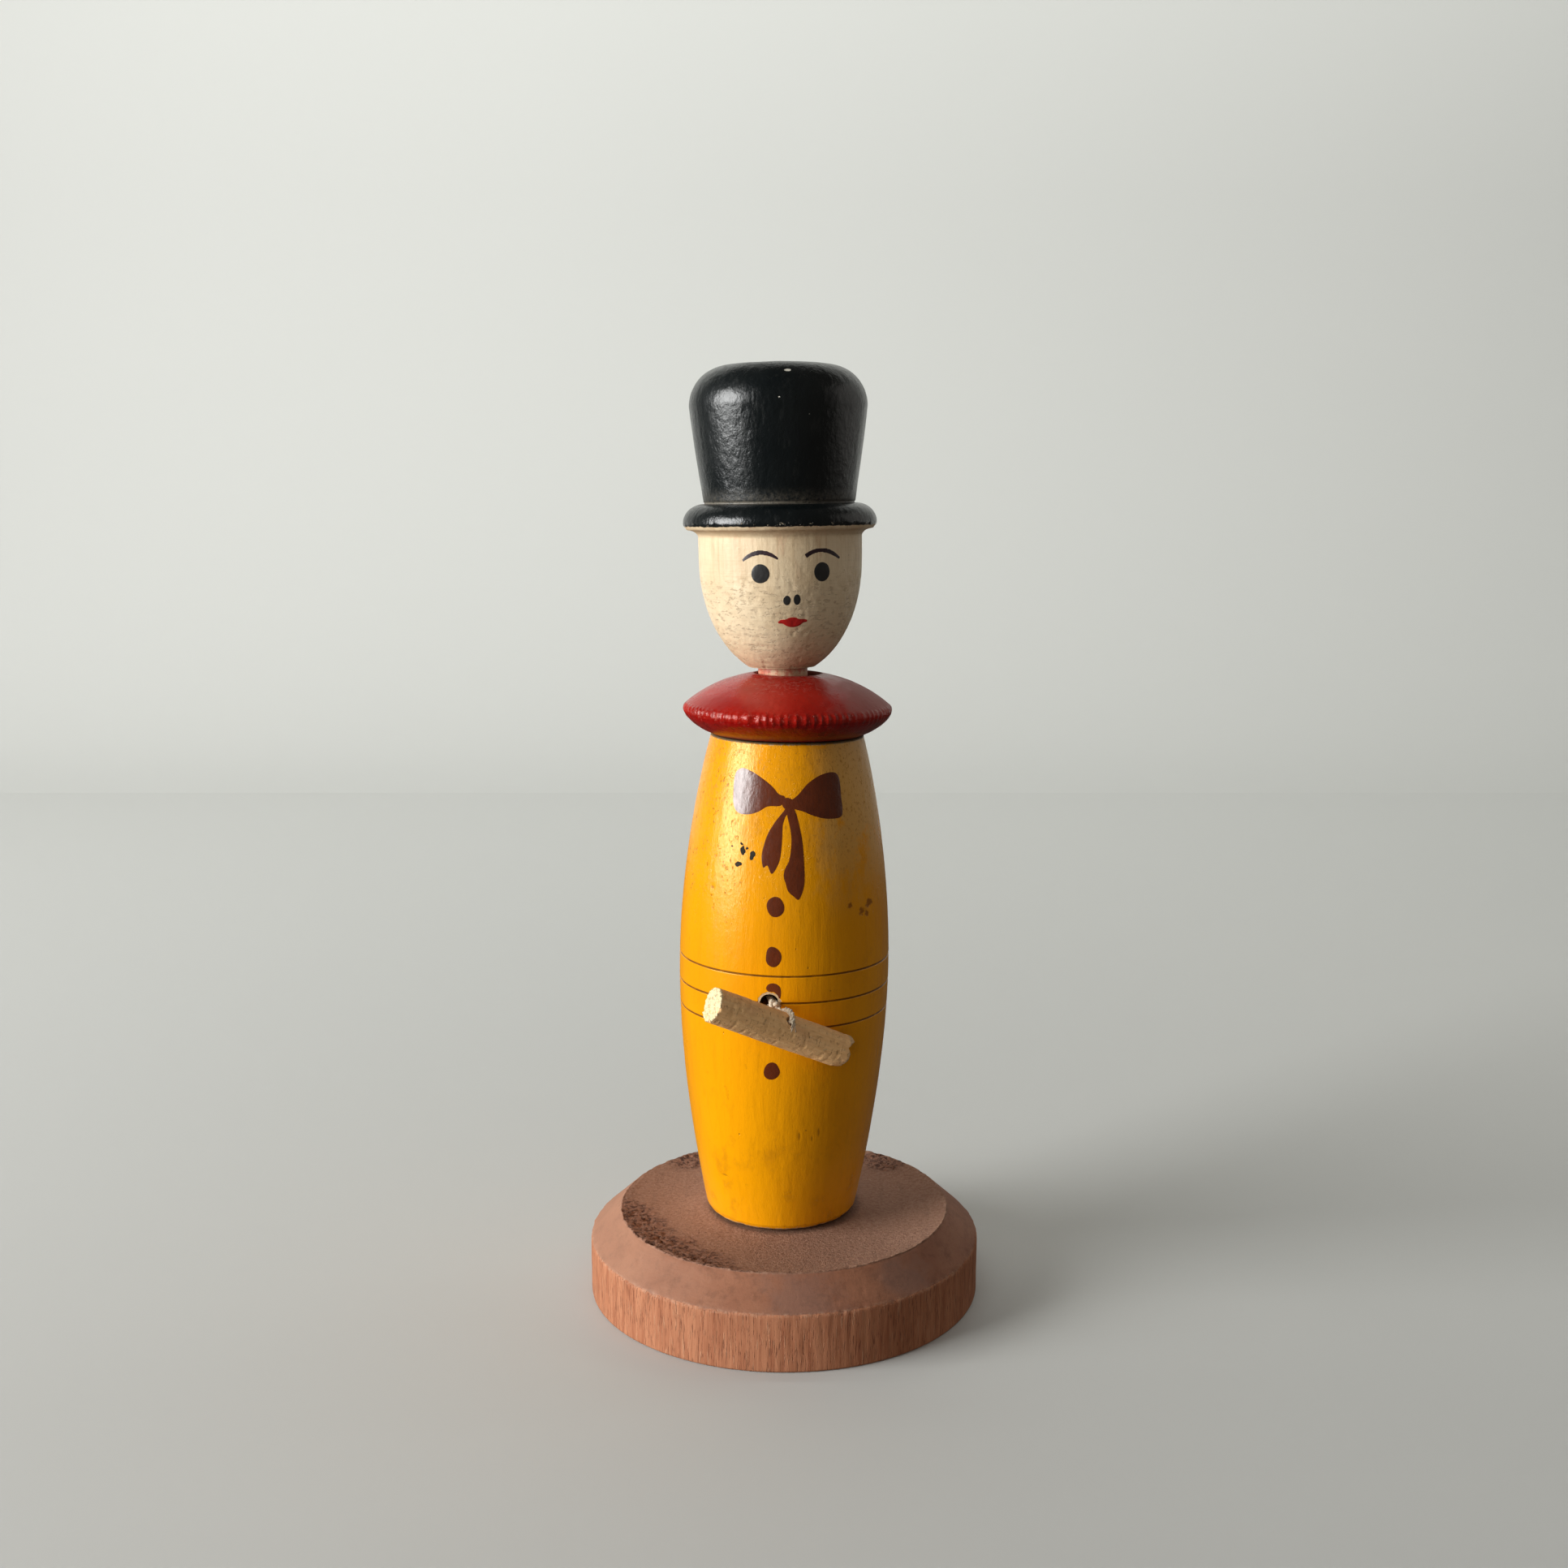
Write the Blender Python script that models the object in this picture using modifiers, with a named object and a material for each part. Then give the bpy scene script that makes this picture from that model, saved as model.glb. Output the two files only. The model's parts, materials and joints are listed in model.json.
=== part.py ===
"""A turned wooden doll whose head spins when the cord at its waist is pulled.

A hollow barrel body stands on a round base. Its red collar is the lid, and the head turns on a
dowel spindle that runs through the collar to a footstep in the body's floor. The cord is wound on
the spindle, leaves through the waist and ends round a stick toggle. Metres, +Z up, front is -Y.
"""

import math

import bmesh
import bpy
from mathutils import Matrix, Vector

MM = 0.001
GAP = 0.3 * MM              # clearance between pieces that touch

# Axes. Each turned piece stands on its own slightly leaning axis, and its heights are measured
# along that axis from the table. A lean is positive towards +X.
BODY_X, BODY_LEAN = -0.83 * MM, 0.0135
SPIN_X, SPIN_LEAN = -0.51 * MM, 0.0026
HEAD_X, HEAD_LEAN = 1.20 * MM, -0.0135

# Base
BASE_R, BASE_SIDE = 36.45 * MM, 10.4 * MM
RIM_R, RIM_Z = 30.8 * MM, 15.6 * MM
SEAT_R, SEAT_Z = 14.5 * MM, 15.3 * MM
DISH_DEPTH, DISH_LIP = 0.75 * MM, 0.4 * MM
BASE_EDGE, BASE_FOOT_EDGE = 0.15 * MM, 0.4 * MM

# Body
BODY_BOTTOM, BODY_TOP = SEAT_Z + GAP, 105.1 * MM
WAIST_R, WAIST_Z = 19.3 * MM, 62.2 * MM
TOP_R, FOOT_R = 13.75 * MM, 13.8 * MM
FOOT_ROUND = 1.0 * MM
BORE_R, FLOOR_Z = 10.5 * MM, 33.0 * MM
FOOTSTEP_Z = 29.0 * MM
PILOT_R, PILOT_TOP = 2.05 * MM, 25.0 * MM
GROOVE_HEIGHTS = [64.9 * MM, 60.1 * MM, 55.4 * MM]
GROOVE_DEPTH, GROOVE_WIDTH = 0.25 * MM, 0.45 * MM
GROOVE_CLEAR = 1.5 * MM     # no ring of the barrel comes closer to a groove than this

# Collar
COLLAR_BOTTOM_R, COLLAR_RIM_R = 13.9 * MM, 18.9 * MM
COLLAR_RIM_Z, COLLAR_TOP = 109.7 * MM, 116.15 * MM
NECK_HOLE_R = 5.75 * MM
COLLAR_ROUND = 1.2 * MM
COLLAR_BOW, COLLAR_UNDER_BOW = 0.85 * MM, 0.35 * MM
SPIGOT_LENGTH, SPIGOT_BEVEL = 6.0 * MM, 0.5 * MM

# Head and hat, turned in one piece
CHIN_Z = 117.3 * MM
HEAD_R, HEAD_WIDEST = 14.5 * MM, 136.0 * MM
HEAD_HEIGHT = 20.5 * MM     # half height of the egg that the face is turned to
BRIM_UNDER, BRIM_EDGE_Z, BRIM_R = 141.2 * MM, 142.9 * MM, 17.2 * MM
CROWN_BOTTOM, CROWN_BOTTOM_R = 146.6 * MM, 13.45 * MM
CROWN_R, SHOULDER_Z, SHOULDER_ROUND = 15.7 * MM, 163.1 * MM, 7.0 * MM
CROWN_DOME, CROWN_BOW = 0.3 * MM, 0.12 * MM

# Spindle and the cord on it
SPINDLE_R = 4.45 * MM
SPINDLE_TOP, SPINDLE_EDGE = 133.0 * MM, 0.6 * MM
SPINDLE_POINT = 2.4 * MM    # height of its rounded foot
CORD_R = 0.6 * MM
CORD_Z = 60.15 * MM         # height of the winding's middle, the waist hole and the knot
REEL_R, REEL_HALF, REEL_SLOPE = 3.6 * MM, 3.9 * MM, 0.8 * MM
WINDING_HALF = 3.2 * MM
WINDING_R = REEL_R + GAP + CORD_R
PEG_R, PEG_Z = 0.65 * MM, 53.2 * MM
PEG_INSET = 0.2 * MM        # how far each end of the peg stands back from the spindle's surface

# Cord run: a straight line that leaves the winding at a tangent and passes the waist hole.
CORD_HOLE_R = 1.6 * MM
CORD_HOLE_X, CORD_HOLE_Y = -2.55 * MM, -19.1 * MM
CORD_X, CORD_Y = -1.9 * MM, -19.6 * MM      # where the cord crosses the body's surface
CORD_START = 4.5 * MM       # in front of the body's middle, beside the winding
CORD_STEPS = 7
KNOT_Y, KNOT_R = -21.15 * MM, 0.95 * MM

# Toggle: a short stick, tied at its middle, that hangs askew in front of the waist hole.
TOGGLE_R, TOGGLE_LENGTH = 3.0 * MM, 27.3 * MM
TOGGLE_CENTER = Vector((-0.8, -26.4, 57.8)) * MM
TOGGLE_YAW, TOGGLE_DIP = math.radians(24.4), math.radians(25.1)
TIE_OFFSET = 0.4 * MM       # from the stick's middle towards its lower end
TIE_HOLE_R, TIE_HOLE_TILT = 1.0 * MM, math.radians(37)
LOOP_STEPS, LOOP_INSET = 12, 0.3                        # the inset is in radians, at each mouth
LOOP_REACH = (-1.13, -0.95, -0.45, 0.45, 0.95, 1.13)    # points through the hole, in stick radii
TOGGLE_EDGE = 0.3 * MM

# Screw that holds the body to the base, driven from beneath
SCREW_HEAD_R, SCREW_R, SCREW_CORE_R = 3.8 * MM, 1.75 * MM, 1.25 * MM
SCREW_HEAD_Z, SCREW_NECK_Z = 0.6 * MM, 2.8 * MM
SCREW_THREAD_Z, SCREW_TIP_Z = 12.0 * MM, 24.6 * MM
SCREW_PITCH = 1.5 * MM
SLOT_WIDTH, SLOT_DEPTH = 1.0 * MM, 0.9 * MM

BIG_STEPS, SMALL_STEPS = 48, 32     # facets round the large and the small turned pieces
BARREL_STEPS = 16                   # rings down the body


def clear_scene():
    for obj in list(bpy.data.objects):
        bpy.data.objects.remove(obj, do_unlink=True)


def new_collection(name):
    collection = bpy.data.collections.new(name)
    bpy.context.scene.collection.children.link(collection)
    return collection


def leaning_axis(x, lean):
    """Frame of a piece whose axis meets the table at x and leans towards +X."""
    return Matrix.Translation((x, 0, 0)) @ Matrix.Rotation(lean, 4, "Y")


def new_empty(name, matrix, parent=None):
    empty = bpy.data.objects.new(name, None)
    empty.empty_display_size = 8 * MM
    parts.objects.link(empty)
    place(empty, matrix, parent)
    return empty


def place(obj, matrix, parent=None):
    """Give an object its world matrix, and keep it there under a parent whose own is known."""
    if parent is not None:
        obj.parent = parent
        obj.matrix_parent_inverse = world_of[parent.name].inverted()
    obj.matrix_basis = matrix
    world_of[obj.name] = matrix.copy()


def finish_material(name, color, roughness, metallic=0.0):
    material = bpy.data.materials.new(name)
    material.use_nodes = True
    shader = material.node_tree.nodes["Principled BSDF"]
    shader.inputs["Base Color"].default_value = (*color, 1.0)
    shader.inputs["Roughness"].default_value = roughness
    shader.inputs["Metallic"].default_value = metallic
    return material


def add_part(name, data, matrix, parent, material):
    obj = bpy.data.objects.new(name, data)
    obj.data.materials.append(material)
    parts.objects.link(obj)
    place(obj, matrix, parent)
    return obj


def arc(center_r, center_z, radius_r, radius_z, start, end, steps):
    """Points of an elliptical arc. 0 degrees points away from the axis, and 90 points up."""
    points = []
    for i in range(steps + 1):
        angle = math.radians(start + (end - start) * i / steps)
        points.append((center_r + radius_r * math.cos(angle), center_z + radius_z * math.sin(angle)))
    return points


def bowed(start, end, bow, steps):
    """Points from start to end along a parabola that stands bow to the left of the chord."""
    (r0, z0), (r1, z1) = start, end
    length = math.hypot(r1 - r0, z1 - z0)
    points = []
    for i in range(steps + 1):
        t = i / steps
        side = 4 * bow * t * (1 - t) / length
        points.append((r0 + (r1 - r0) * t - (z1 - z0) * side, z0 + (z1 - z0) * t + (r1 - r0) * side))
    return points


def turned_mesh(name, profile, closed=False):
    edges = [(i, i + 1) for i in range(len(profile) - 1)]
    if closed:
        edges.append((len(profile) - 1, 0))
    mesh = bpy.data.meshes.new(name)
    mesh.from_pydata([(r, 0, z) for r, z in profile], edges, [])
    return mesh


def turn(obj, steps):
    screw = obj.modifiers.new("Turn", "SCREW")
    screw.axis = "Z"
    screw.angle = math.tau
    screw.steps = steps
    screw.render_steps = steps
    screw.use_merge_vertices = True
    screw.merge_threshold = 0.00001
    screw.use_smooth_shade = True


def turned_part(name, profile, matrix, parent, material, steps, closed=False):
    obj = add_part(name, turned_mesh(name, profile, closed), matrix, parent, material)
    turn(obj, steps)
    return obj


def primitive_mesh(name, make):
    """A mesh from one bmesh primitive, with its sides shaded smooth."""
    mesh = bpy.data.meshes.new(name)
    shape = bmesh.new()
    make(shape)
    shape.to_mesh(mesh)
    shape.free()
    mesh.shade_smooth()
    mesh.set_sharp_from_angle(angle=math.radians(40))
    return mesh


def rod_mesh(name, radius, length, segments, tip_radius=None):
    tip = radius if tip_radius is None else tip_radius
    return primitive_mesh(name, lambda shape: bmesh.ops.create_cone(
        shape, cap_ends=True, segments=segments, radius1=radius, radius2=tip, depth=length))


def cut(obj, mesh, matrix):
    """Subtract a mesh, placed at a world matrix, from a part."""
    cutter = bpy.data.objects.new(mesh.name, mesh)
    cutter.display_type = "WIRE"
    cutter.hide_render = True
    cutters.objects.link(cutter)
    cutter.matrix_basis = matrix
    boolean = obj.modifiers.new("Cut " + mesh.name, "BOOLEAN")
    boolean.operation = "DIFFERENCE"
    boolean.solver = "EXACT"
    boolean.object = cutter


def cord_part(name, points, matrix, parent, material, cyclic=False):
    """A round cord along a polyline, closed by caps or into a loop."""
    curve = bpy.data.curves.new(name, "CURVE")
    curve.dimensions = "3D"
    curve.bevel_depth = CORD_R
    curve.bevel_resolution = 2
    curve.use_fill_caps = not cyclic
    spline = curve.splines.new("POLY")
    spline.points.add(len(points) - 1)
    for point, position in zip(spline.points, points):
        point.co = (*position, 1.0)
    spline.use_cyclic_u = cyclic
    return add_part(name, curve, matrix, parent, material)


def pointing(direction, location):
    """Frame at location whose Z axis points along direction."""
    return Matrix.Translation(location) @ Vector(direction).to_track_quat("Z", "Y").to_matrix().to_4x4()


def barrel_radius(height):
    """Outer radius of the body: a parabola above the waist, and a slightly fuller curve below."""
    if height > WAIST_Z:
        return WAIST_R - (WAIST_R - TOP_R) * ((height - WAIST_Z) / (BODY_TOP - WAIST_Z)) ** 2
    reach = WAIST_Z - BODY_BOTTOM
    return WAIST_R - (WAIST_R - FOOT_R) * ((WAIST_Z - height) / reach) ** 1.8


def make_base():
    """Disc with a shallow annular dish, a wide chamfer and a countersunk screw hole."""
    hole_r = SCREW_R + GAP
    sink = SCREW_HEAD_R + 2 * GAP
    profile = [(hole_r, SEAT_Z)]
    profile += bowed((SEAT_R, SEAT_Z), (RIM_R - DISH_LIP, RIM_Z), -DISH_DEPTH, 5)
    profile += [(RIM_R, RIM_Z), (BASE_R - BASE_EDGE, BASE_SIDE + BASE_EDGE)]
    profile += [(BASE_R, BASE_SIDE - BASE_EDGE), (BASE_R, BASE_FOOT_EDGE), (BASE_R - BASE_FOOT_EDGE, 0)]
    profile += [(sink, 0), (sink, SCREW_HEAD_Z), (hole_r, SCREW_NECK_Z + GAP)]
    turned_part("base", profile, Matrix(), None, base_wood, BIG_STEPS, closed=True)


def make_body(axis):
    """Barrel bored from above, with a footstep in its floor, a pilot hole and the waist hole."""
    profile = [(0, FOOTSTEP_Z), (SPINDLE_R + GAP, FOOTSTEP_Z), (SPINDLE_R + GAP, FLOOR_Z)]
    profile += [(BORE_R, FLOOR_Z), (BORE_R, BODY_TOP)]
    step = (BODY_TOP - BODY_BOTTOM - FOOT_ROUND) / BARREL_STEPS
    heights = [BODY_TOP - step * i for i in range(BARREL_STEPS + 1)]
    heights = [z for z in heights if min(abs(z - g) for g in GROOVE_HEIGHTS) > GROOVE_CLEAR]
    half = GROOVE_WIDTH / 2
    outline = [(barrel_radius(z), z) for z in heights]
    for g in GROOVE_HEIGHTS:
        outline += [(barrel_radius(g + half), g + half), (barrel_radius(g) - GROOVE_DEPTH, g),
                    (barrel_radius(g - half), g - half)]
    profile += sorted(outline, key=lambda point: -point[1])
    profile += arc(FOOT_R - FOOT_ROUND, BODY_BOTTOM + FOOT_ROUND, FOOT_ROUND, FOOT_ROUND, -20, -90, 3)
    profile += [(0, BODY_BOTTOM)]
    body = turned_part("body", profile, world_of[axis.name], axis, yellow_paint, BIG_STEPS)
    depth = WAIST_R - BORE_R + 8 * MM
    middle = Vector((CORD_HOLE_X, CORD_HOLE_Y, CORD_Z)) - PULL * (depth / 2 - 3 * MM)
    cut(body, rod_mesh("waist_hole", CORD_HOLE_R, depth, 28), pointing(PULL, middle))
    cut(body, rod_mesh("pilot_hole", PILOT_R, 2 * (PILOT_TOP - BODY_BOTTOM), 20),
        Matrix.Translation((0, 0, BODY_BOTTOM)))


def make_collar(axis):
    """Lens-shaped lid with a spigot in the body's bore and a wide hole for the neck."""
    spigot_r = BORE_R - GAP
    seat = BODY_TOP + GAP
    profile = bowed((NECK_HOLE_R, COLLAR_TOP), (COLLAR_RIM_R - 0.7 * MM, COLLAR_RIM_Z + 1.1 * MM),
                    COLLAR_BOW, 6)
    profile += arc(COLLAR_RIM_R - COLLAR_ROUND, COLLAR_RIM_Z, COLLAR_ROUND, COLLAR_ROUND, 30, -30, 3)
    profile += bowed((COLLAR_RIM_R - 0.6 * MM, COLLAR_RIM_Z - 1.3 * MM), (COLLAR_BOTTOM_R, seat),
                     COLLAR_UNDER_BOW, 3)
    profile += [(spigot_r, seat), (spigot_r, seat - SPIGOT_LENGTH + SPIGOT_BEVEL)]
    profile += [(spigot_r - SPIGOT_BEVEL, seat - SPIGOT_LENGTH), (NECK_HOLE_R, seat - SPIGOT_LENGTH)]
    turned_part("collar", profile, world_of[axis.name], axis, red_paint, BIG_STEPS, closed=True)


def make_screw():
    """Slotted countersunk wood screw. Its thread is a row of rings."""
    profile = [(0, SCREW_TIP_Z)]
    z = SCREW_TIP_Z - SCREW_PITCH
    while z > SCREW_THREAD_Z:
        profile += [(SCREW_CORE_R, z + SCREW_PITCH * 0.6), (SCREW_R, z + SCREW_PITCH * 0.2)]
        z -= SCREW_PITCH
    profile += [(SCREW_CORE_R, z + SCREW_PITCH * 0.6), (SCREW_R, z), (SCREW_R, SCREW_NECK_Z)]
    profile += [(SCREW_HEAD_R, SCREW_HEAD_Z + 0.2 * MM), (SCREW_HEAD_R, SCREW_HEAD_Z), (0, SCREW_HEAD_Z)]
    screw = turned_part("base_screw", profile, Matrix(), None, steel, 20)
    slot = primitive_mesh("screw_slot", lambda shape: bmesh.ops.create_cube(
        shape, size=1, matrix=Matrix.Diagonal((SLOT_WIDTH, 3 * SCREW_HEAD_R, 2 * SLOT_DEPTH, 1))))
    cut(screw, slot, Matrix.Translation((0, 0, SCREW_HEAD_Z)))


def make_head(axis):
    """Egg-shaped head and top hat in one turned piece, bored from beneath for the spindle."""
    flat_r = CROWN_R - SHOULDER_ROUND
    profile = [(0, SHOULDER_Z + SHOULDER_ROUND + CROWN_DOME)]
    profile += arc(flat_r, SHOULDER_Z, SHOULDER_ROUND, SHOULDER_ROUND, 90, 0, 6)
    profile += bowed((CROWN_R, SHOULDER_Z), (CROWN_BOTTOM_R, CROWN_BOTTOM), CROWN_BOW, 3)[1:]
    profile += arc(CROWN_BOTTOM_R, BRIM_EDGE_Z, BRIM_R - CROWN_BOTTOM_R,
                   CROWN_BOTTOM - BRIM_EDGE_Z - 0.3 * MM, 84, 0, 4)
    profile += [(BRIM_R - 0.35 * MM, BRIM_EDGE_Z - 0.6 * MM), (HEAD_R + 1.1 * MM, BRIM_UNDER + 0.5 * MM)]
    profile += [(HEAD_R + 0.1 * MM, BRIM_UNDER - 0.4 * MM)]
    chin_angle = -math.degrees(math.asin((HEAD_WIDEST - CHIN_Z) / HEAD_HEIGHT))
    profile += arc(0, HEAD_WIDEST, HEAD_R, HEAD_HEIGHT, 0, chin_angle, 8)
    profile += [(0, CHIN_Z)]
    head = turned_part("head", profile, leaning_axis(HEAD_X, HEAD_LEAN), axis, black_paint, BIG_STEPS)
    depth = SPINDLE_TOP + GAP - CHIN_Z + 4 * MM
    middle = leaning_axis(SPIN_X, SPIN_LEAN) @ Matrix.Translation((0, 0, SPINDLE_TOP + GAP - depth / 2))
    cut(head, rod_mesh("spindle_bore", SPINDLE_R + GAP, depth, SMALL_STEPS), middle)


def make_spindle(axis):
    """Dowel from the head to the footstep, with a reel groove and a cross hole for the peg."""
    frame = leaning_axis(SPIN_X, SPIN_LEAN)
    foot = FOOTSTEP_Z + GAP
    profile = [(0, SPINDLE_TOP), (SPINDLE_R - SPINDLE_EDGE, SPINDLE_TOP)]
    profile += [(SPINDLE_R, SPINDLE_TOP - SPINDLE_EDGE)]
    profile += [(SPINDLE_R, CORD_Z + REEL_HALF + REEL_SLOPE), (REEL_R, CORD_Z + REEL_HALF)]
    profile += [(REEL_R, CORD_Z - REEL_HALF), (SPINDLE_R, CORD_Z - REEL_HALF - REEL_SLOPE)]
    profile += [(SPINDLE_R, foot + SPINDLE_POINT)]
    profile += arc(0, foot + SPINDLE_POINT, SPINDLE_R, SPINDLE_POINT, -15, -90, 5)
    spindle = turned_part("spindle", profile, frame, axis, pale_wood, SMALL_STEPS)
    across = frame @ Matrix.Translation((0, 0, PEG_Z)) @ Matrix.Rotation(math.pi / 2, 4, "Y")
    cut(spindle, rod_mesh("peg_hole", PEG_R + GAP, 4 * SPINDLE_R, 16), across)
    peg = rod_mesh("cord_peg", PEG_R, 2 * (SPINDLE_R - PEG_INSET), 12, tip_radius=PEG_R * 0.7)
    add_part("cord_peg", peg, across, axis, pale_wood)


def make_winding(axis):
    """Outer shape of the turns of cord on the reel."""
    inner, outer = REEL_R + GAP, WINDING_R + CORD_R
    low, high = CORD_Z - WINDING_HALF, CORD_Z + WINDING_HALF
    profile = [(inner, high), (outer - CORD_R / 2, high), (outer, high - CORD_R)]
    profile += [(outer, low + CORD_R), (outer - CORD_R / 2, low), (inner, low)]
    turned_part("cord_winding", profile, leaning_axis(SPIN_X, SPIN_LEAN), axis, cotton,
                SMALL_STEPS, closed=True)


def pull_direction():
    """Level direction of the cord, at a tangent to the left side of the winding."""
    spindle_x = SPIN_X + CORD_Z * SPIN_LEAN
    to_axis = Vector((spindle_x - CORD_X, -CORD_Y))
    angle = math.asin(WINDING_R / to_axis.length) - math.atan2(to_axis.x, to_axis.y)
    return Vector((math.sin(angle), -math.cos(angle), 0))


def make_cord_run(axis):
    """The straight stretch of cord from beside the winding, through the waist, to the knot."""
    surface = Vector((CORD_X, CORD_Y, CORD_Z))
    start = surface - PULL * (-CORD_Y - CORD_START)
    end = KNOT - PULL * (KNOT_R + GAP)
    points = [start.lerp(end, i / CORD_STEPS) for i in range(CORD_STEPS + 1)]
    cord_part("pull_cord", points, Matrix(), axis, cotton)


def toggle_frame():
    """Frame of the stick: Z along it, X towards its upper side, Y towards its front."""
    level = math.cos(TOGGLE_DIP)
    along = Vector((level * math.cos(TOGGLE_YAW), level * math.sin(TOGGLE_YAW), -math.sin(TOGGLE_DIP)))
    upper = (Vector((0, 0, 1)) - along * along.z).normalized()
    front = along.cross(upper)
    turn_matrix = Matrix((upper, front, along)).transposed().to_4x4()
    return Matrix.Translation(TOGGLE_CENTER) @ turn_matrix


def make_toggle(axis):
    """Round stick with a cross hole at its middle, where the cord is tied."""
    frame = toggle_frame()
    toggle = add_part("toggle", rod_mesh("toggle", TOGGLE_R, TOGGLE_LENGTH, 36), frame, axis, driftwood)
    bevel = toggle.modifiers.new("Edges", "BEVEL")
    bevel.width = TOGGLE_EDGE
    bevel.segments = 2
    bevel.limit_method = "ANGLE"
    hole = frame @ Matrix.Translation((0, 0, TIE_OFFSET)) @ Matrix.Rotation(-TIE_HOLE_TILT, 4, "Z")
    hole = hole @ Matrix.Rotation(-math.pi / 2, 4, "X")
    cut(toggle, rod_mesh("tie_hole", TIE_HOLE_R, 4 * TOGGLE_R, 18), hole)


def make_toggle_loop(axis):
    """Loop of cord through the cross hole and back over the upper side of the stick."""
    rise = TOGGLE_R + GAP + CORD_R
    mouth, back = math.radians(90) - TIE_HOLE_TILT, -math.radians(90) - TIE_HOLE_TILT
    points = []
    for i in range(LOOP_STEPS + 1):
        angle = (mouth - LOOP_INSET) + (back - mouth + 2 * LOOP_INSET) * i / LOOP_STEPS
        points.append(Vector((rise * math.cos(angle), rise * math.sin(angle), TIE_OFFSET)))
    through = Vector((math.cos(mouth), math.sin(mouth), 0))
    for reach in LOOP_REACH:
        points.append(through * reach * TOGGLE_R + Vector((0, 0, TIE_OFFSET)))
    cord_part("toggle_loop", points, toggle_frame(), axis, cotton, cyclic=True)


def make_knot(axis):
    """The knot that ties the loop to the run of the cord."""
    mesh = primitive_mesh("cord_knot", lambda shape: bmesh.ops.create_uvsphere(
        shape, u_segments=16, v_segments=10, radius=KNOT_R))
    add_part("cord_knot", mesh, pointing(PULL, KNOT), axis, cotton)


clear_scene()
parts = new_collection("kokeshi_doll")
cutters = new_collection("cutters")
world_of = {}

yellow_paint = finish_material("yellow_paint", (0.86, 0.47, 0.03), 0.32)
red_paint = finish_material("red_paint", (0.45, 0.02, 0.02), 0.30)
black_paint = finish_material("black_paint", (0.01, 0.015, 0.018), 0.25)
pale_wood = finish_material("pale_wood", (0.72, 0.58, 0.38), 0.55)
base_wood = finish_material("base_wood", (0.36, 0.17, 0.11), 0.75)
driftwood = finish_material("driftwood", (0.36, 0.28, 0.19), 0.85)
cotton = finish_material("cotton", (0.75, 0.70, 0.60), 0.95)
steel = finish_material("steel", (0.45, 0.43, 0.40), 0.40, metallic=1.0)

PULL = pull_direction()
KNOT = Vector((CORD_X, CORD_Y, CORD_Z)) + PULL * ((KNOT_Y - CORD_Y) / PULL.y)

make_base()
make_screw()
body_axis = new_empty("body_axis", leaning_axis(BODY_X, BODY_LEAN))
make_body(body_axis)
make_collar(body_axis)

footstep = Matrix.Translation((0, 0, FOOTSTEP_Z))
spin_axis = new_empty("spin_axis", leaning_axis(SPIN_X, SPIN_LEAN) @ footstep)
make_head(spin_axis)
make_spindle(spin_axis)
make_winding(spin_axis)

pull_axis = new_empty("pull_axis", pointing(PULL, KNOT))
make_cord_run(pull_axis)
swivel_axis = new_empty("swivel_axis", pointing(PULL, KNOT), pull_axis)
make_knot(swivel_axis)
make_toggle_loop(swivel_axis)
make_toggle(swivel_axis)
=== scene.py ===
# Turned wooden doll with a spinning head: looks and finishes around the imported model
import json
import math
import random

import bpy
import bmesh
import numpy as np
from mathutils import Matrix, Vector
from mathutils.geometry import delaunay_2d_cdt


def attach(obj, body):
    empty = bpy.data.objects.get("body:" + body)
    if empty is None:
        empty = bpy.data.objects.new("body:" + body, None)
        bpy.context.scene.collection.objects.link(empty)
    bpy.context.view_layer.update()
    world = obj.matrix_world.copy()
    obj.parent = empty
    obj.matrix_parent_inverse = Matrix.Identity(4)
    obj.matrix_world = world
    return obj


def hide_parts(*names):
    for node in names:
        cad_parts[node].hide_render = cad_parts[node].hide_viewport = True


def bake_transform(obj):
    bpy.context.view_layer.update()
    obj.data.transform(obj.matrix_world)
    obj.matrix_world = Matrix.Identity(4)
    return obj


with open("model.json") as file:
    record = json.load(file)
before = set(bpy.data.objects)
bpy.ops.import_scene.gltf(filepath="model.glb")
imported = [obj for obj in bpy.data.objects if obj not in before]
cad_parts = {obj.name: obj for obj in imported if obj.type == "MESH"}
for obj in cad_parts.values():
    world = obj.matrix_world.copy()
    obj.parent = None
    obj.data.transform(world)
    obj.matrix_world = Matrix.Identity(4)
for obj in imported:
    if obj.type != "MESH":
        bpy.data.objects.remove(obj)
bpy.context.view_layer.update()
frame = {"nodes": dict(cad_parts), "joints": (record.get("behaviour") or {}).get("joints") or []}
mm = 0.001
print("frame loaded:", len(frame["nodes"]), "nodes")


def leaning(x, lean):
    # frame of a turned piece whose axis meets the table at x mm and leans towards +X
    return Matrix.Translation((x * mm, 0, 0)) @ Matrix.Rotation(lean, 4, "Y")


bodyAxis = leaning(-0.83, 0.0135)
spinAxis = leaning(-0.51, 0.0026)
headAxis = leaning(1.20, -0.0135)

# camera, floor and light

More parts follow.
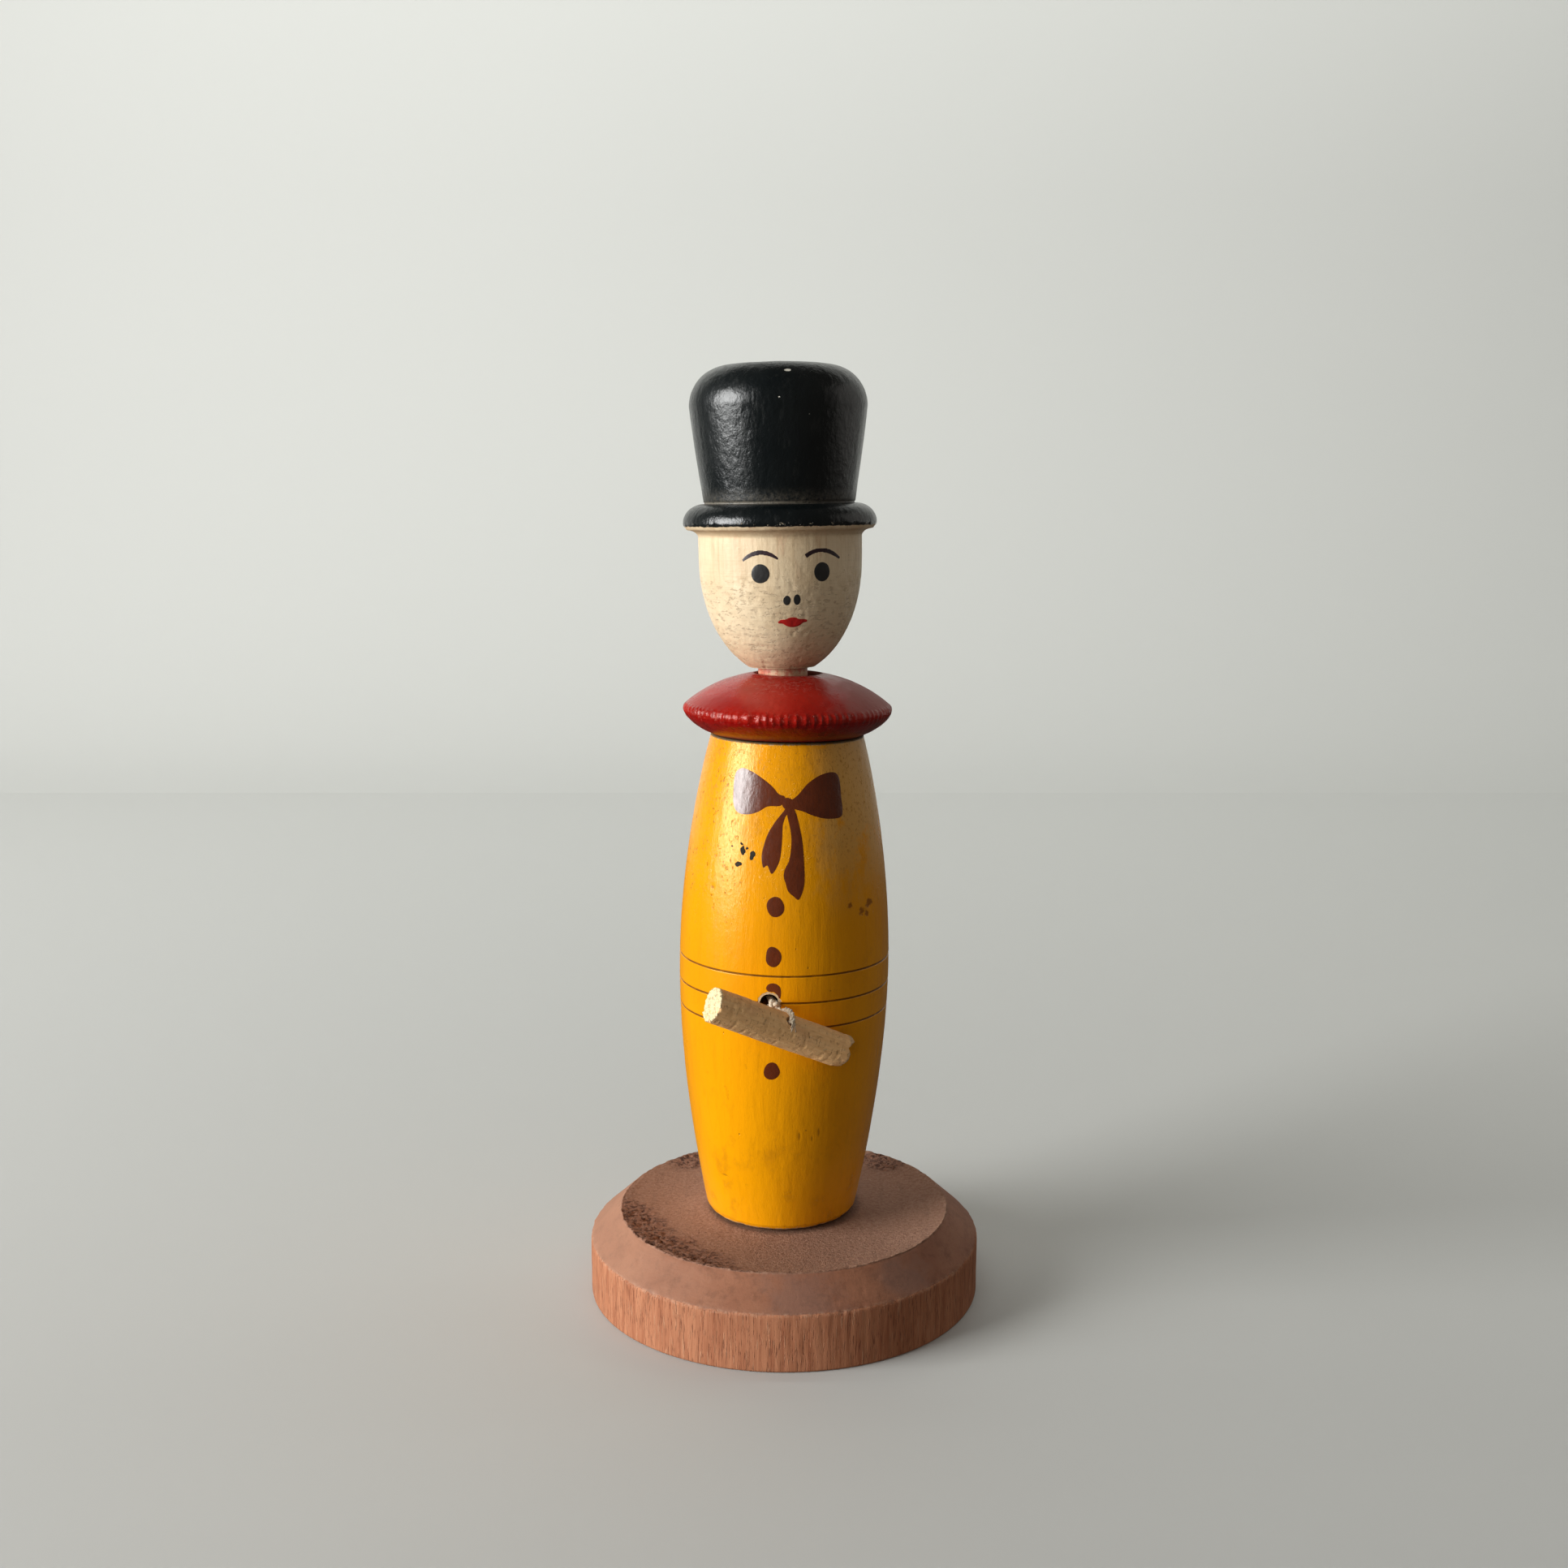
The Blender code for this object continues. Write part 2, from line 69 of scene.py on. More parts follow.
shot = {
    "place": (0, -0.308, 0.1468),
    "pitch": 80.59,             # degrees from straight down
    "lens": 39.34,
    "floor": (0.56, 0.56, 0.54),
    "halfWidth": 2.2,           # of the floor and backdrop, in metres
    "floorFront": -1.6,
    "wallFoot": 0.55,           # metres behind the doll
    "wallTop": 1.8,
    "sweep": 0.35,
    "sky": 0.068,
    "skyColor": (1.0, 0.90, 0.78),
}
lamps = {
    # place, target, width, height, power, color, and whether gloss mirrors it
    "window": ((-0.98, -0.40, 0.34), (0, 0, 0.09), 0.62, 0.62, 19.8, (0.99, 1.0, 0.99), True),
    "wallWash": ((0, 0.25, 0.9), (0, 1.0, 0.5), 1.8, 0.3, 9.0, (0.97, 1.0, 0.97), False),
    "roomFill": ((-0.10, -1.3, 0.36), (0, 0, 0.09), 1.2, 0.8, 2.5, (1.0, 0.94, 0.86), False),
    "paleCard": ((0.35, 0.06, 0.24), (0, 0, 0.15), 0.3, 0.3, 0.11, (1.0, 0.96, 0.90), True),
}


def makeCamera():
    data = bpy.data.cameras.new("camera")
    data.lens = shot["lens"]
    data.sensor_width = 36
    camera = bpy.data.objects.new("camera", data)
    camera.location = shot["place"]
    camera.rotation_euler = (math.radians(shot["pitch"]), 0, 0)
    bpy.context.scene.collection.objects.link(camera)
    bpy.context.scene.camera = camera


def makeLamps():
    for name, (place, target, width, height, power, color, glossy) in lamps.items():
        data = bpy.data.lights.new(name, "AREA")
        data.shape = "RECTANGLE"
        data.size = width
        data.size_y = height
        data.energy = power
        data.color = color
        lamp = bpy.data.objects.new(name, data)
        lamp.location = place
        lamp.rotation_euler = (Vector(target) - Vector(place)).to_track_quat("-Z", "Y").to_euler()
        lamp.visible_camera = False
        lamp.visible_glossy = glossy
        bpy.context.scene.collection.objects.link(lamp)


def stagePiece(name, outline, material):
    verts = [(x, y, z) for y, z in outline for x in (-shot["halfWidth"], shot["halfWidth"])]
    faces = [(2 * i, 2 * i + 1, 2 * i + 3, 2 * i + 2) for i in range(len(outline) - 1)]
    mesh = bpy.data.meshes.new(name)
    mesh.from_pydata(verts, [], faces)
    mesh.shade_smooth()
    mesh.materials.append(material)
    piece = bpy.data.objects.new(name, mesh)
    bpy.context.scene.collection.objects.link(piece)
    return piece


def makeStage():
    # a floor that runs up into the backdrop in one soft sweep
    plain = bpy.data.materials.new("stagePlain")
    plain.use_nodes = True
    shader = plain.node_tree.nodes["Principled BSDF"]
    shader.inputs["Base Color"].default_value = (*shot["floor"], 1)
    shader.inputs["Roughness"].default_value = 0.7
    foot, sweep = shot["wallFoot"], shot["sweep"]
    floor = stagePiece("floor", [(shot["floorFront"], 0.0), (foot, 0.0)], plain)
    # it gives the gloss nothing to mirror and throws no light up, like a dark bench would
    floor.visible_glossy = False
    floor.visible_diffuse = False
    turns = [math.pi / 2 * i / 12 for i in range(13)]
    curve = [(foot + sweep * math.sin(a), sweep * (1 - math.cos(a))) for a in turns]
    curve.append((foot + sweep, shot["wallTop"]))
    stagePiece("backdrop", curve, plain)


makeCamera()
makeStage()
makeLamps()
world = bpy.data.worlds.new("room")
world.use_nodes = True
world.node_tree.nodes["Background"].inputs["Color"].default_value = (*shot["skyColor"], 1)
world.node_tree.nodes["Background"].inputs["Strength"].default_value = shot["sky"]
bpy.context.scene.world = world
bpy.context.scene.view_settings.view_transform = "Standard"
print("camera, floor and light set")

# shader tools


class Wire:
    # a shader socket that takes part in plain expressions
    def __init__(self, finish, socket):
        self.finish = finish
        self.socket = socket

    def join(self, operation, first, second=0.0):
        return self.finish.add("ShaderNodeMath", {"operation": operation}, {0: first, 1: second})

    def __add__(self, other):
        return self.join("ADD", self, other)

    def __sub__(self, other):
        return self.join("SUBTRACT", self, other)

    def __mul__(self, other):
        return self.join("MULTIPLY", self, other)

    def __rsub__(self, other):
        return self.join("SUBTRACT", other, self)

    __radd__ = __add__
    __rmul__ = __mul__

    def magnitude(self):
        return self.join("ABSOLUTE", self)

    def largest(self, other):
        return self.join("MAXIMUM", self, other)

    def step(self, low, high):
        # 0 below low, 1 above high and smooth between; the other way round where low is above high
        return self.finish.add("ShaderNodeMapRange", {"interpolation_type": "SMOOTHSTEP"},
                               {"Value": self, "From Min": low, "From Max": high})


class Finish:
    # one material: a Principled shader and the nodes that drive it, in millimetres of the piece
    def __init__(self, name, specular=0.5, sheen=0.0, tint=(1.0, 1.0, 1.0)):
        self.material = bpy.data.materials.new(name)
        self.material.use_nodes = True
        self.tree = self.material.node_tree
        self.shader = self.tree.nodes["Principled BSDF"]
        self.shader.inputs["Specular IOR Level"].default_value = specular
        self.shader.inputs["Specular Tint"].default_value = (*tint, 1)
        self.shader.inputs["Sheen Weight"].default_value = sheen
        where = self.add("ShaderNodeTexCoord", {}, {}, "Object")
        self.spot = self.vector("SCALE", {0: where, "Scale": 1 / mm})
        self.x, self.y, self.z = (self.add("ShaderNodeSeparateXYZ", {}, {0: self.spot}, axis)
                                  for axis in "XYZ")
        self.color = None           # over and darken build on it
        self.normal = None          # bump builds on it

    def add(self, kind, settings, values, out=0):
        node = self.tree.nodes.new(kind)
        for key, value in settings.items():
            setattr(node, key, value)
        for key, value in values.items():
            if isinstance(value, Wire):
                self.tree.links.new(value.socket, node.inputs[key])
            elif isinstance(value, tuple) and len(node.inputs[key].default_value) == 4:
                node.inputs[key].default_value = (*value, 1)
            else:
                node.inputs[key].default_value = value
        return Wire(self, node.outputs[out])

    def vector(self, operation, values, out=0):
        return self.add("ShaderNodeVectorMath", {"operation": operation}, values, out)

    def stretched(self, sx, sy, sz):
        return self.vector("MULTIPLY", {0: self.spot, 1: (sx, sy, sz)})

    def noise(self, stretch, detail=3.0, roughness=0.5, distortion=0.0):
        # stretch is how many features there are to a millimetre along x, y and z
        return self.add("ShaderNodeTexNoise", {}, {
            "Vector": self.stretched(*stretch), "Scale": 1.0, "Detail": detail,
            "Roughness": roughness, "Distortion": distortion})

    def cells(self, stretch):
        # distance to the nearest of a scatter of points
        return self.add("ShaderNodeTexVoronoi", {}, {"Vector": self.stretched(*stretch), "Scale": 1.0})

    def away(self, point):
        # distance in millimetres from a point
        return self.vector("DISTANCE", {0: self.spot, 1: point}, "Value")

    def ovalAway(self, point, wide, tall):
        # distance from a point on the front, where 1 is the edge of an oval of half sizes wide and tall
        shift = self.vector("SUBTRACT", {0: self.spot, 1: point})
        shift = self.vector("DIVIDE", {0: shift, 1: (wide, 1.0, tall)})
        return self.vector("LENGTH", {0: shift}, "Value")

    def radius(self):
        return self.vector("LENGTH", {0: self.stretched(1, 1, 0)}, "Value")

    def mix(self, amount, first, second):
        return self.add("ShaderNodeMix", {"data_type": "RGBA"}, {0: amount, 6: first, 7: second}, 2)

    def over(self, amount, color):
        self.color = self.mix(amount, self.color, color)

    def darken(self, amount, factor):
        # multiply the color by a grey that goes from 1 to factor as amount goes from 0 to 1
        grey = self.mix(amount, (1.0, 1.0, 1.0), (factor, factor, factor))
        self.color = self.add("ShaderNodeMix", {"data_type": "RGBA", "blend_type": "MULTIPLY"},
                              {0: 1.0, 6: self.color, 7: grey}, 2)

    def bump(self, height, depth):
        # depth is in millimetres for a height of 1
        values = {"Height": height, "Strength": 1.0, "Distance": depth * mm}
        if self.normal is not None:
            values["Normal"] = self.normal
        self.normal = self.add("ShaderNodeBump", {}, values)

    def finish(self, roughness, metallic=None):
        links = {"Base Color": self.color, "Roughness": roughness, "Normal": self.normal,
                 "Metallic": metallic}
        for key, value in links.items():
            if isinstance(value, Wire):
                self.tree.links.new(value.socket, self.shader.inputs[key])
            elif value is not None:
                self.shader.inputs[key].default_value = value
        return self.material


def union(masks):
    # the strongest of a few masks at each point
    first, *others = masks
    for mask in others:
        first = first.largest(mask)
    return first


def onSurface(radius, s, z):
    # point in the piece's own millimetres at s mm round to the viewer's right of the front
    return (radius * math.sin(s / radius), -radius * math.cos(s / radius), z)


# mesh tools


def latticeNoise(points, seed):
    # smooth repeatable noise from -1 to 1 at an array of points
    cell = np.floor(points).astype(np.int64)
    part = points - cell
    part = part * part * (3 - 2 * part)
    total = np.zeros(len(points))
    for corner in range(8):
        step = np.array([corner & 1, corner >> 1 & 1, corner >> 2 & 1])
        c = cell + step
        mixed = (c[:, 0] * 73856093) ^ (c[:, 1] * 19349663) ^ (c[:, 2] * 83492791) ^ (seed * 2971)
        mixed = (mixed ^ (mixed >> 13)) * 1274126177
        value = ((mixed ^ (mixed >> 16)) & 0xFFFF) / 32767.5 - 1
        weight = np.where(step == 1, part, 1 - part).prod(axis=1)
        total += value * weight
    return total


def layeredNoise(points, seed):
    return sum(latticeNoise(points * 2 ** i, seed + i) / 2 ** i for i in range(3))


def smooth(value, low, high):
    t = np.clip((value - low) / (high - low), 0, 1)
    return t * t * (3 - 2 * t)


def arc(centerR, centerZ, radiusR, radiusZ, start, end, steps):
    # 0 degrees points away from the axis, and 90 points up
    angles = np.radians(np.linspace(start, end, steps + 1))
    return [(centerR + radiusR * math.cos(a), centerZ + radiusZ * math.sin(a)) for a in angles]


def bowed(start, end, bow, steps):
    # parabola that stands bow mm to the left of the chord
    (r0, z0), (r1, z1) = start, end
    length = math.hypot(r1 - r0, z1 - z0)
    points = []
    for i in range(steps + 1):
        t = i / steps
        side = 4 * bow * t * (1 - t) / length
        points.append((r0 + (r1 - r0) * t - (z1 - z0) * side, z0 + (z1 - z0) * t + (r1 - r0) * side))
    return points


def dense(outline, step):
    # the same outline with no stretch longer than step mm
    points = [outline[0]]
    for (r0, z0), (r1, z1) in zip(outline, outline[1:]):
        count = max(1, math.ceil(math.hypot(r1 - r0, z1 - z0) / step))
        points += [(r0 + (r1 - r0) * i / count, z0 + (z1 - z0) * i / count) for i in range(1, count + 1)]
    return points


def addObject(name, mesh, matrix):
    piece = bpy.data.objects.new(name, mesh)
    piece.matrix_world = matrix
    bpy.context.scene.collection.objects.link(piece)
    return piece


def roundSpots(angle, r, z):
    # points of a turned surface as x, y, z in mm; an angle of 0 is the front
    return np.stack([r * np.sin(angle), -r * np.cos(angle), z], axis=1)


def meshOf(name, shape):
    bmesh.ops.recalc_face_normals(shape, faces=shape.faces)
    mesh = bpy.data.meshes.new(name)
    shape.to_mesh(mesh)
    shape.free()
    mesh.shade_smooth()
    return mesh


def turnedPiece(name, outline, steps, matrix, relief, closed=False, sharp=45, shift=None):
    # sweep an outline in mm round the axis; relief gives each point's height over it in mm,
    # and shift moves it along the axis
    outline = np.array(outline)
    radii, heights = outline[:, 0], outline[:, 1]
    if closed:
        ahead, behind = np.roll(outline, -1, axis=0), np.roll(outline, 1, axis=0)
    else:
        ahead = np.vstack([outline[1:], outline[-1:]])
        behind = np.vstack([outline[:1], outline[:-1]])
    along = ahead - behind
    along /= np.maximum(np.linalg.norm(along, axis=1), 1e-9)[:, None]
    rings = len(outline)
    angle = np.tile(np.arange(steps) * 2 * math.pi / steps, rings)
    ring = np.repeat(np.arange(rings), steps)
    r, z = radii[ring], heights[ring]
    outR, outZ = -along[ring, 1], along[ring, 0]
    lift = relief(angle, r, z)
    r, z = r + outR * lift, z + outZ * lift
    if shift is not None:
        z = z + shift(angle, radii[ring], heights[ring])
    r = np.where(radii[ring] < 1e-6, 0, r)
    verts = roundSpots(angle, r, z) * mm
    faces = []
    spans = rings if closed else rings - 1
    for j in range(spans):
        k = (j + 1) % rings
        for i in range(steps):
            n = (i + 1) % steps
            quad = [j * steps + i, k * steps + i, k * steps + n, j * steps + n]
            if radii[j] < 1e-6:
                quad = [j * steps, k * steps + i, k * steps + n]
            elif radii[k] < 1e-6:
                quad = [j * steps + i, k * steps, j * steps + n]
            faces.append(quad)
    mesh = bpy.data.meshes.new(name)
    mesh.from_pydata(verts.tolist(), [], faces)
    shape = bmesh.new()
    shape.from_mesh(mesh)
    loose = [v for v in shape.verts if not v.link_faces]
    bmesh.ops.delete(shape, geom=loose, context="VERTS")
    bmesh.ops.recalc_face_normals(shape, faces=shape.faces)
    shape.to_mesh(mesh)
    shape.free()
    mesh.shade_smooth()
    mesh.set_sharp_from_angle(angle=math.radians(sharp))
    return addObject(name, mesh, matrix)


def dents(angle, r, z, marks):
    # marks are (mm round from the front, height, half width, half height, depth)
    total = np.zeros(len(angle))
    turn = (angle + math.pi) % (2 * math.pi) - math.pi
    for s, height, wide, tall, depth in marks:
        total -= depth * np.exp(-((turn * r - s) / wide) ** 2 - ((z - height) / tall) ** 2)
    return total


def cutWith(piece, cutter):
    # take cutter out of piece for good
    tool = piece.modifiers.new("Cut", "BOOLEAN")
    tool.operation = "DIFFERENCE"
    tool.solver = "EXACT"
    tool.object = cutter
    graph = bpy.context.evaluated_depsgraph_get()
    mesh = bpy.data.meshes.new_from_object(piece.evaluated_get(graph))
    piece.modifiers.clear()
    piece.data = mesh
    bpy.data.objects.remove(cutter)


def rod(name, radius, length, steps, matrix):
    mesh = bpy.data.meshes.new(name)
    shape = bmesh.new()
    bmesh.ops.create_cone(shape, cap_ends=True, segments=steps, radius1=radius * mm,
                          radius2=radius * mm, depth=length * mm)
    shape.to_mesh(mesh)
    shape.free()
    return addObject(name, mesh, matrix)


def pointing(direction, place):
    return Matrix.Translation(place) @ Vector(direction).to_track_quat("Z", "Y").to_matrix().to_4x4()


def dress(piece, material, body, instead=()):
    piece.data.materials.clear()
    piece.data.materials.append(material)
    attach(piece, body)
    if instead:
        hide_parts(*instead)
    return piece


# the barrel body

body = {
    "top": 105.1, "bottom": 15.6, "waist": 62.2,
    "waistR": 19.3, "topR": 13.75, "footR": 13.8,
    "grooves": (64.9, 60.1, 55.4), "grooveDepth": 0.22, "grooveWidth": 0.13,
    "bore": 10.5, "boreLip": 0.3, "lipRound": 0.35, "footRound": 1.0, "floor": 33.0, "steps": 364,
    "hole": (-2.55, -19.1, 60.15), "holeR": 1.6,
    "yellow": (0.865, 0.342, 0.001), "deepYellow": (0.80, 0.302, 0.001),
    "bareWood": (0.64, 0.47, 0.28), "bareWoodDark": (0.48, 0.32, 0.17), "burn": (0.085, 0.024, 0.004),
    # mm round from the front, height, half width, half height, depth
    "knocks": [
        (3.1, 34.9, 0.16, 0.75, 0.16), (5.4, 34.3, 0.12, 0.45, 0.11), (6.7, 35.4, 0.15, 0.85, 0.15),
        (-11.2, 25.5, 0.75, 0.12, 0.12), (-14.2, 79.4, 0.35, 0.30, 0.16), (8.4, 62.0, 0.25, 0.12, 0.12),
        (-6.9, 86.5, 0.5, 0.5, 0.06), (17.3, 76.0, 0.7, 0.5, 0.10), (15.2, 75.1, 0.5, 0.4, 0.08),
        (-16.0, 40.0, 0.3, 0.9, 0.08), (2.0, 22.0, 0.3, 0.2, 0.07), (22.0, 48.0, 0.5, 1.4, 0.10),
        (35.0, 70.0, 0.9, 0.5, 0.12), (-38.0, 52.0, 0.5, 0.8, 0.12), (50.0, 30.0, 0.4, 1.1, 0.10)],
    # mm round, height, half width, half height
    "scratches": [
        (3.1, 34.9, 0.26, 1.0), (5.4, 34.3, 0.20, 0.65), (6.7, 35.4, 0.24, 1.15),
        (-11.2, 25.5, 0.95, 0.20), (-14.2, 79.4, 0.45, 0.35), (8.4, 62.0, 0.30, 0.16),
        (4.3, 36.0, 0.2, 0.2)],
    # mm round, height, size
    "stains": [
        (17.2, 76.4, 0.65), (15.0, 75.2, 0.50), (12.4, 76.8, 0.25), (9.5, 93.0, 0.5),
        (-30.0, 66.0, 1.1), (36.0, 39.0, 0.9), (16.5, 74.9, 0.45)],
}
pull = Vector(frame["joints"][1]["axis"]).normalized()      # the cord's line


def barrelRadius(z):
    if z > body["waist"]:
        share = (z - body["waist"]) / (body["top"] - body["waist"])
        return body["waistR"] - (body["waistR"] - body["topR"]) * share ** 2
    share = (body["waist"] - z) / (body["waist"] - body["bottom"])
    return body["waistR"] - (body["waistR"] - body["footR"]) * max(share, 0) ** 1.8


def barrelOutline():
    top, lipRound = body["top"], body["lipRound"]
    bottom, footRound = body["bottom"], body["footRound"]
    bore, boreLip = body["bore"], body["boreLip"]
    heights = list(np.linspace(top - lipRound, bottom + footRound, 190))
    for groove in body["grooves"]:
        heights += list(np.linspace(groove - 0.5, groove + 0.5, 15))
    heights = sorted(set(round(h, 4) for h in heights), reverse=True)
    outline = [(0, body["floor"]), (bore, body["floor"]), (bore, top - boreLip)]
    outline += arc(bore + boreLip, top - boreLip, boreLip, boreLip, 180, 90, 3)
    outline += arc(barrelRadius(top - lipRound) - lipRound, top - lipRound, lipRound, lipRound, 90, 10, 4)
    for h in heights:
        cut = sum(math.exp(-((h - g) / body["grooveWidth"]) ** 2) for g in body["grooves"])
        outline.append((barrelRadius(h) - body["grooveDepth"] * cut, h))
    outline += arc(body["footR"] - footRound, bottom + footRound, footRound, footRound, -8, -90, 7)
    outline += [(6, bottom), (0, bottom)]
    return dense(outline, 2.5)


def barrelRelief(angle, r, z):
    spots = roundSpots(angle, r, z)
    outside = smooth(r, body["footR"] - 1.3, body["footR"] - 0.6)
    lift = 0.045 * layeredNoise(spots * (0.10, 0.10, 0.05), 11)        # the turning isn't quite true
    lift += 0.016 * latticeNoise(spots * (1.6, 1.6, 0.12), 12)         # raised grain
    lift += 0.010 * latticeNoise(spots * (0.9, 0.9, 0.9), 13)
    lift += dents(angle, r, z, body["knocks"])
    foot = smooth(z, body["bottom"] + 1.6, body["bottom"] + 0.2)
    lift -= 0.10 * foot * np.clip(layeredNoise(spots * 0.7, 15), 0, 1)
    return lift * outside


def yellowPaint():
    paint = Finish("yellowPaint", specular=0.45, tint=(1.0, 0.90, 0.55))
    x, z = paint.x, paint.z
    broad = paint.noise((0.05, 0.05, 0.03), 4, 0.55)
    grain = paint.noise((1.1, 1.1, 0.05), 6, 0.6, 0.4)
    fine = paint.noise((4.2, 4.2, 0.35), 4, 0.65)
    paint.color = paint.mix(broad.step(0.35, 0.68), body["yellow"], body["deepYellow"])
    paint.darken(grain.step(0.50, 0.80), 0.90)
    paint.darken(fine.step(0.55, 0.80), 0.88)

    # grubby patches, heavier towards the foot and the back
    dirt = paint.noise((0.16, 0.16, 0.13), 5, 0.68).step(0.54, 0.74)
    low = z.step(52.0, 18.0) * 0.35 + 0.30
    paint.over(dirt * low, (0.50, 0.185, 0.002))
    smears = paint.noise((0.55, 0.55, 0.40), 5, 0.75).step(0.60, 0.72)
    paint.over(smears * 0.30, (0.42, 0.15, 0.002))

    # crazed shoulders, where old varnish has gone dark in its pits and pale between them
    high = z.step(72.0, 92.0)
    where = paint.noise((0.20, 0.20, 0.13), 4, 0.65)
    sides = x.magnitude().step(3.0, 11.5) * 0.75 + z.step(94.0, 103.0) * 0.6
    patch = (where + sides * 0.22).step(0.50, 0.66) * high
    hazy = patch * x.step(2.0, 9.0)
    paint.over(hazy * 0.50, (0.58, 0.40, 0.16))
    pits = paint.noise((2.3, 2.3, 1.5), 4, 0.72).step(0.555, 0.62)
    crazed = pits * patch
    paint.over(crazed * 0.62, (0.37, 0.130, 0.006))
    specks = paint.cells((0.30, 0.30, 0.22)).step(0.055, 0.025)
    paint.over(specks * 0.45, (0.20, 0.07, 0.006))
    leftSpecks = paint.noise((1.7, 1.7, 1.3), 4, 0.7).step(0.585, 0.64) * x.step(-6.5, -8.5)
    leftSpecks = leftSpecks * z.step(70.0, 78.0) * paint.noise((0.35, 0.35, 0.30), 3).step(0.46, 0.58)
    paint.over(leftSpecks * 0.7, (0.30, 0.10, 0.006))

    # brown marks and the scuffs round them
    wobble = paint.noise((0.9, 0.9, 0.9), 4, 0.7) * 2.6
    stained = union((paint.away(onSurface(barrelRadius(height), s, height)) + wobble).step(
        size + 1.7, size + 1.15) for s, height, size in body["stains"])
    paint.over(stained * 0.75, (0.22, 0.055, 0.006))

    # dark scratches and knocks, most of them where the dents are
    for s, height, wide, tall in body["scratches"]:
        far = paint.ovalAway(onSurface(barrelRadius(height), s, height), wide, tall)
        paint.over((far + fine * 0.8).step(1.45, 0.8) * 0.62, (0.26, 0.085, 0.004))

    # burnt waist lines
    burnt = union((z - groove).magnitude().step(0.24, 0.09) for groove in body["grooves"])
    scorch = paint.noise((0.5, 0.5, 0.5), 3).step(0.25, 0.6) * 0.25 + 0.62
    paint.over(burnt * scorch, body["burn"])

    # bare wood where the paint has chipped off: lip, foot and round the waist hole, and painted shade
    # inside the hole
    holeAxis = bodyAxis.inverted().to_3x3() @ pull
    holeAt = bodyAxis.inverted() @ (Vector(body["hole"]) * mm) / mm
    offset = paint.vector("SUBTRACT", {0: paint.spot, 1: tuple(holeAt)})
    crossed = paint.vector("CROSS_PRODUCT", {0: offset, 1: tuple(holeAxis)})
    fromHole = paint.vector("LENGTH", {0: crossed}, "Value")
    front = paint.y.step(-14.0, -16.0)
    ragged = paint.noise((1.6, 1.6, 1.6), 3, 0.6)
    fromHole = fromHole - body["holeR"]
    ring = (fromHole + ragged * 0.8).step(0.85, 0.70) * front
    # deep is the inside wall of the waist hole, darkened as painted shade
    deep = (paint.radius() - body["waistR"]).step(-0.35, -0.7) * fromHole.step(0.8, 0.7) * front
    lip = (z - body["top"] + ragged * 1.2).step(0.25, 0.55)
    foot = (z - body["bottom"] + (ragged - 0.5) * 1.5).step(0.55, 0.25)
    inside = (paint.radius() - body["bore"]).step(0.9, 0.4)
    bare = union((ring, lip, foot * 0.8, inside))
    paint.over(bare, paint.mix(fine.step(0.3, 0.7), body["bareWood"], body["bareWoodDark"]))
    paint.over(deep, (0.08, 0.040, 0.018))
    paint.darken((z - body["top"]).step(-0.4, -0.15), 0.25)     # painted shadow under the collar

    rough = 0.20 + broad.step(0.3, 0.7) * 0.05 + crazed * 0.25 + dirt * 0.10 + bare * 0.4 + burnt * 0.25
    rough = rough + hazy * 0.12
    peel = paint.noise((0.8, 0.8, 0.5), 3, 0.55)
    sparkle = paint.noise((3.0, 3.0, 1.7), 3, 0.6)
    paint.bump(peel, 0.040)
    paint.bump(grain, 0.050)
    paint.bump(sparkle, 0.028)
    paint.bump(paint.noise((5.0, 5.0, 0.30), 3, 0.6), 0.022)
    chipped = crazed + specks + bare * 0.7 + stained * 0.5 + leftSpecks
    paint.bump(1 - chipped, 0.060)
    paint.bump(pits * high, 0.030)
    return paint.finish(rough)


def makeBody():
    barrel = turnedPiece("body_barrel", barrelOutline(), body["steps"], bodyAxis, barrelRelief)
    middle = Vector(body["hole"]) * mm - pull * 4 * mm
    drill = rod("drill", body["holeR"], 16, 48, pointing(pull, middle))
    cutWith(barrel, drill)
    dress(barrel, yellowPaint(), "stand", ["body"])


makeBody()
print("body turned, grooved and painted")

# paint films: bow, buttons, face

film = {"height": 0.045, "sink": 0.12, "edge": 0.20, "sharp": 70}
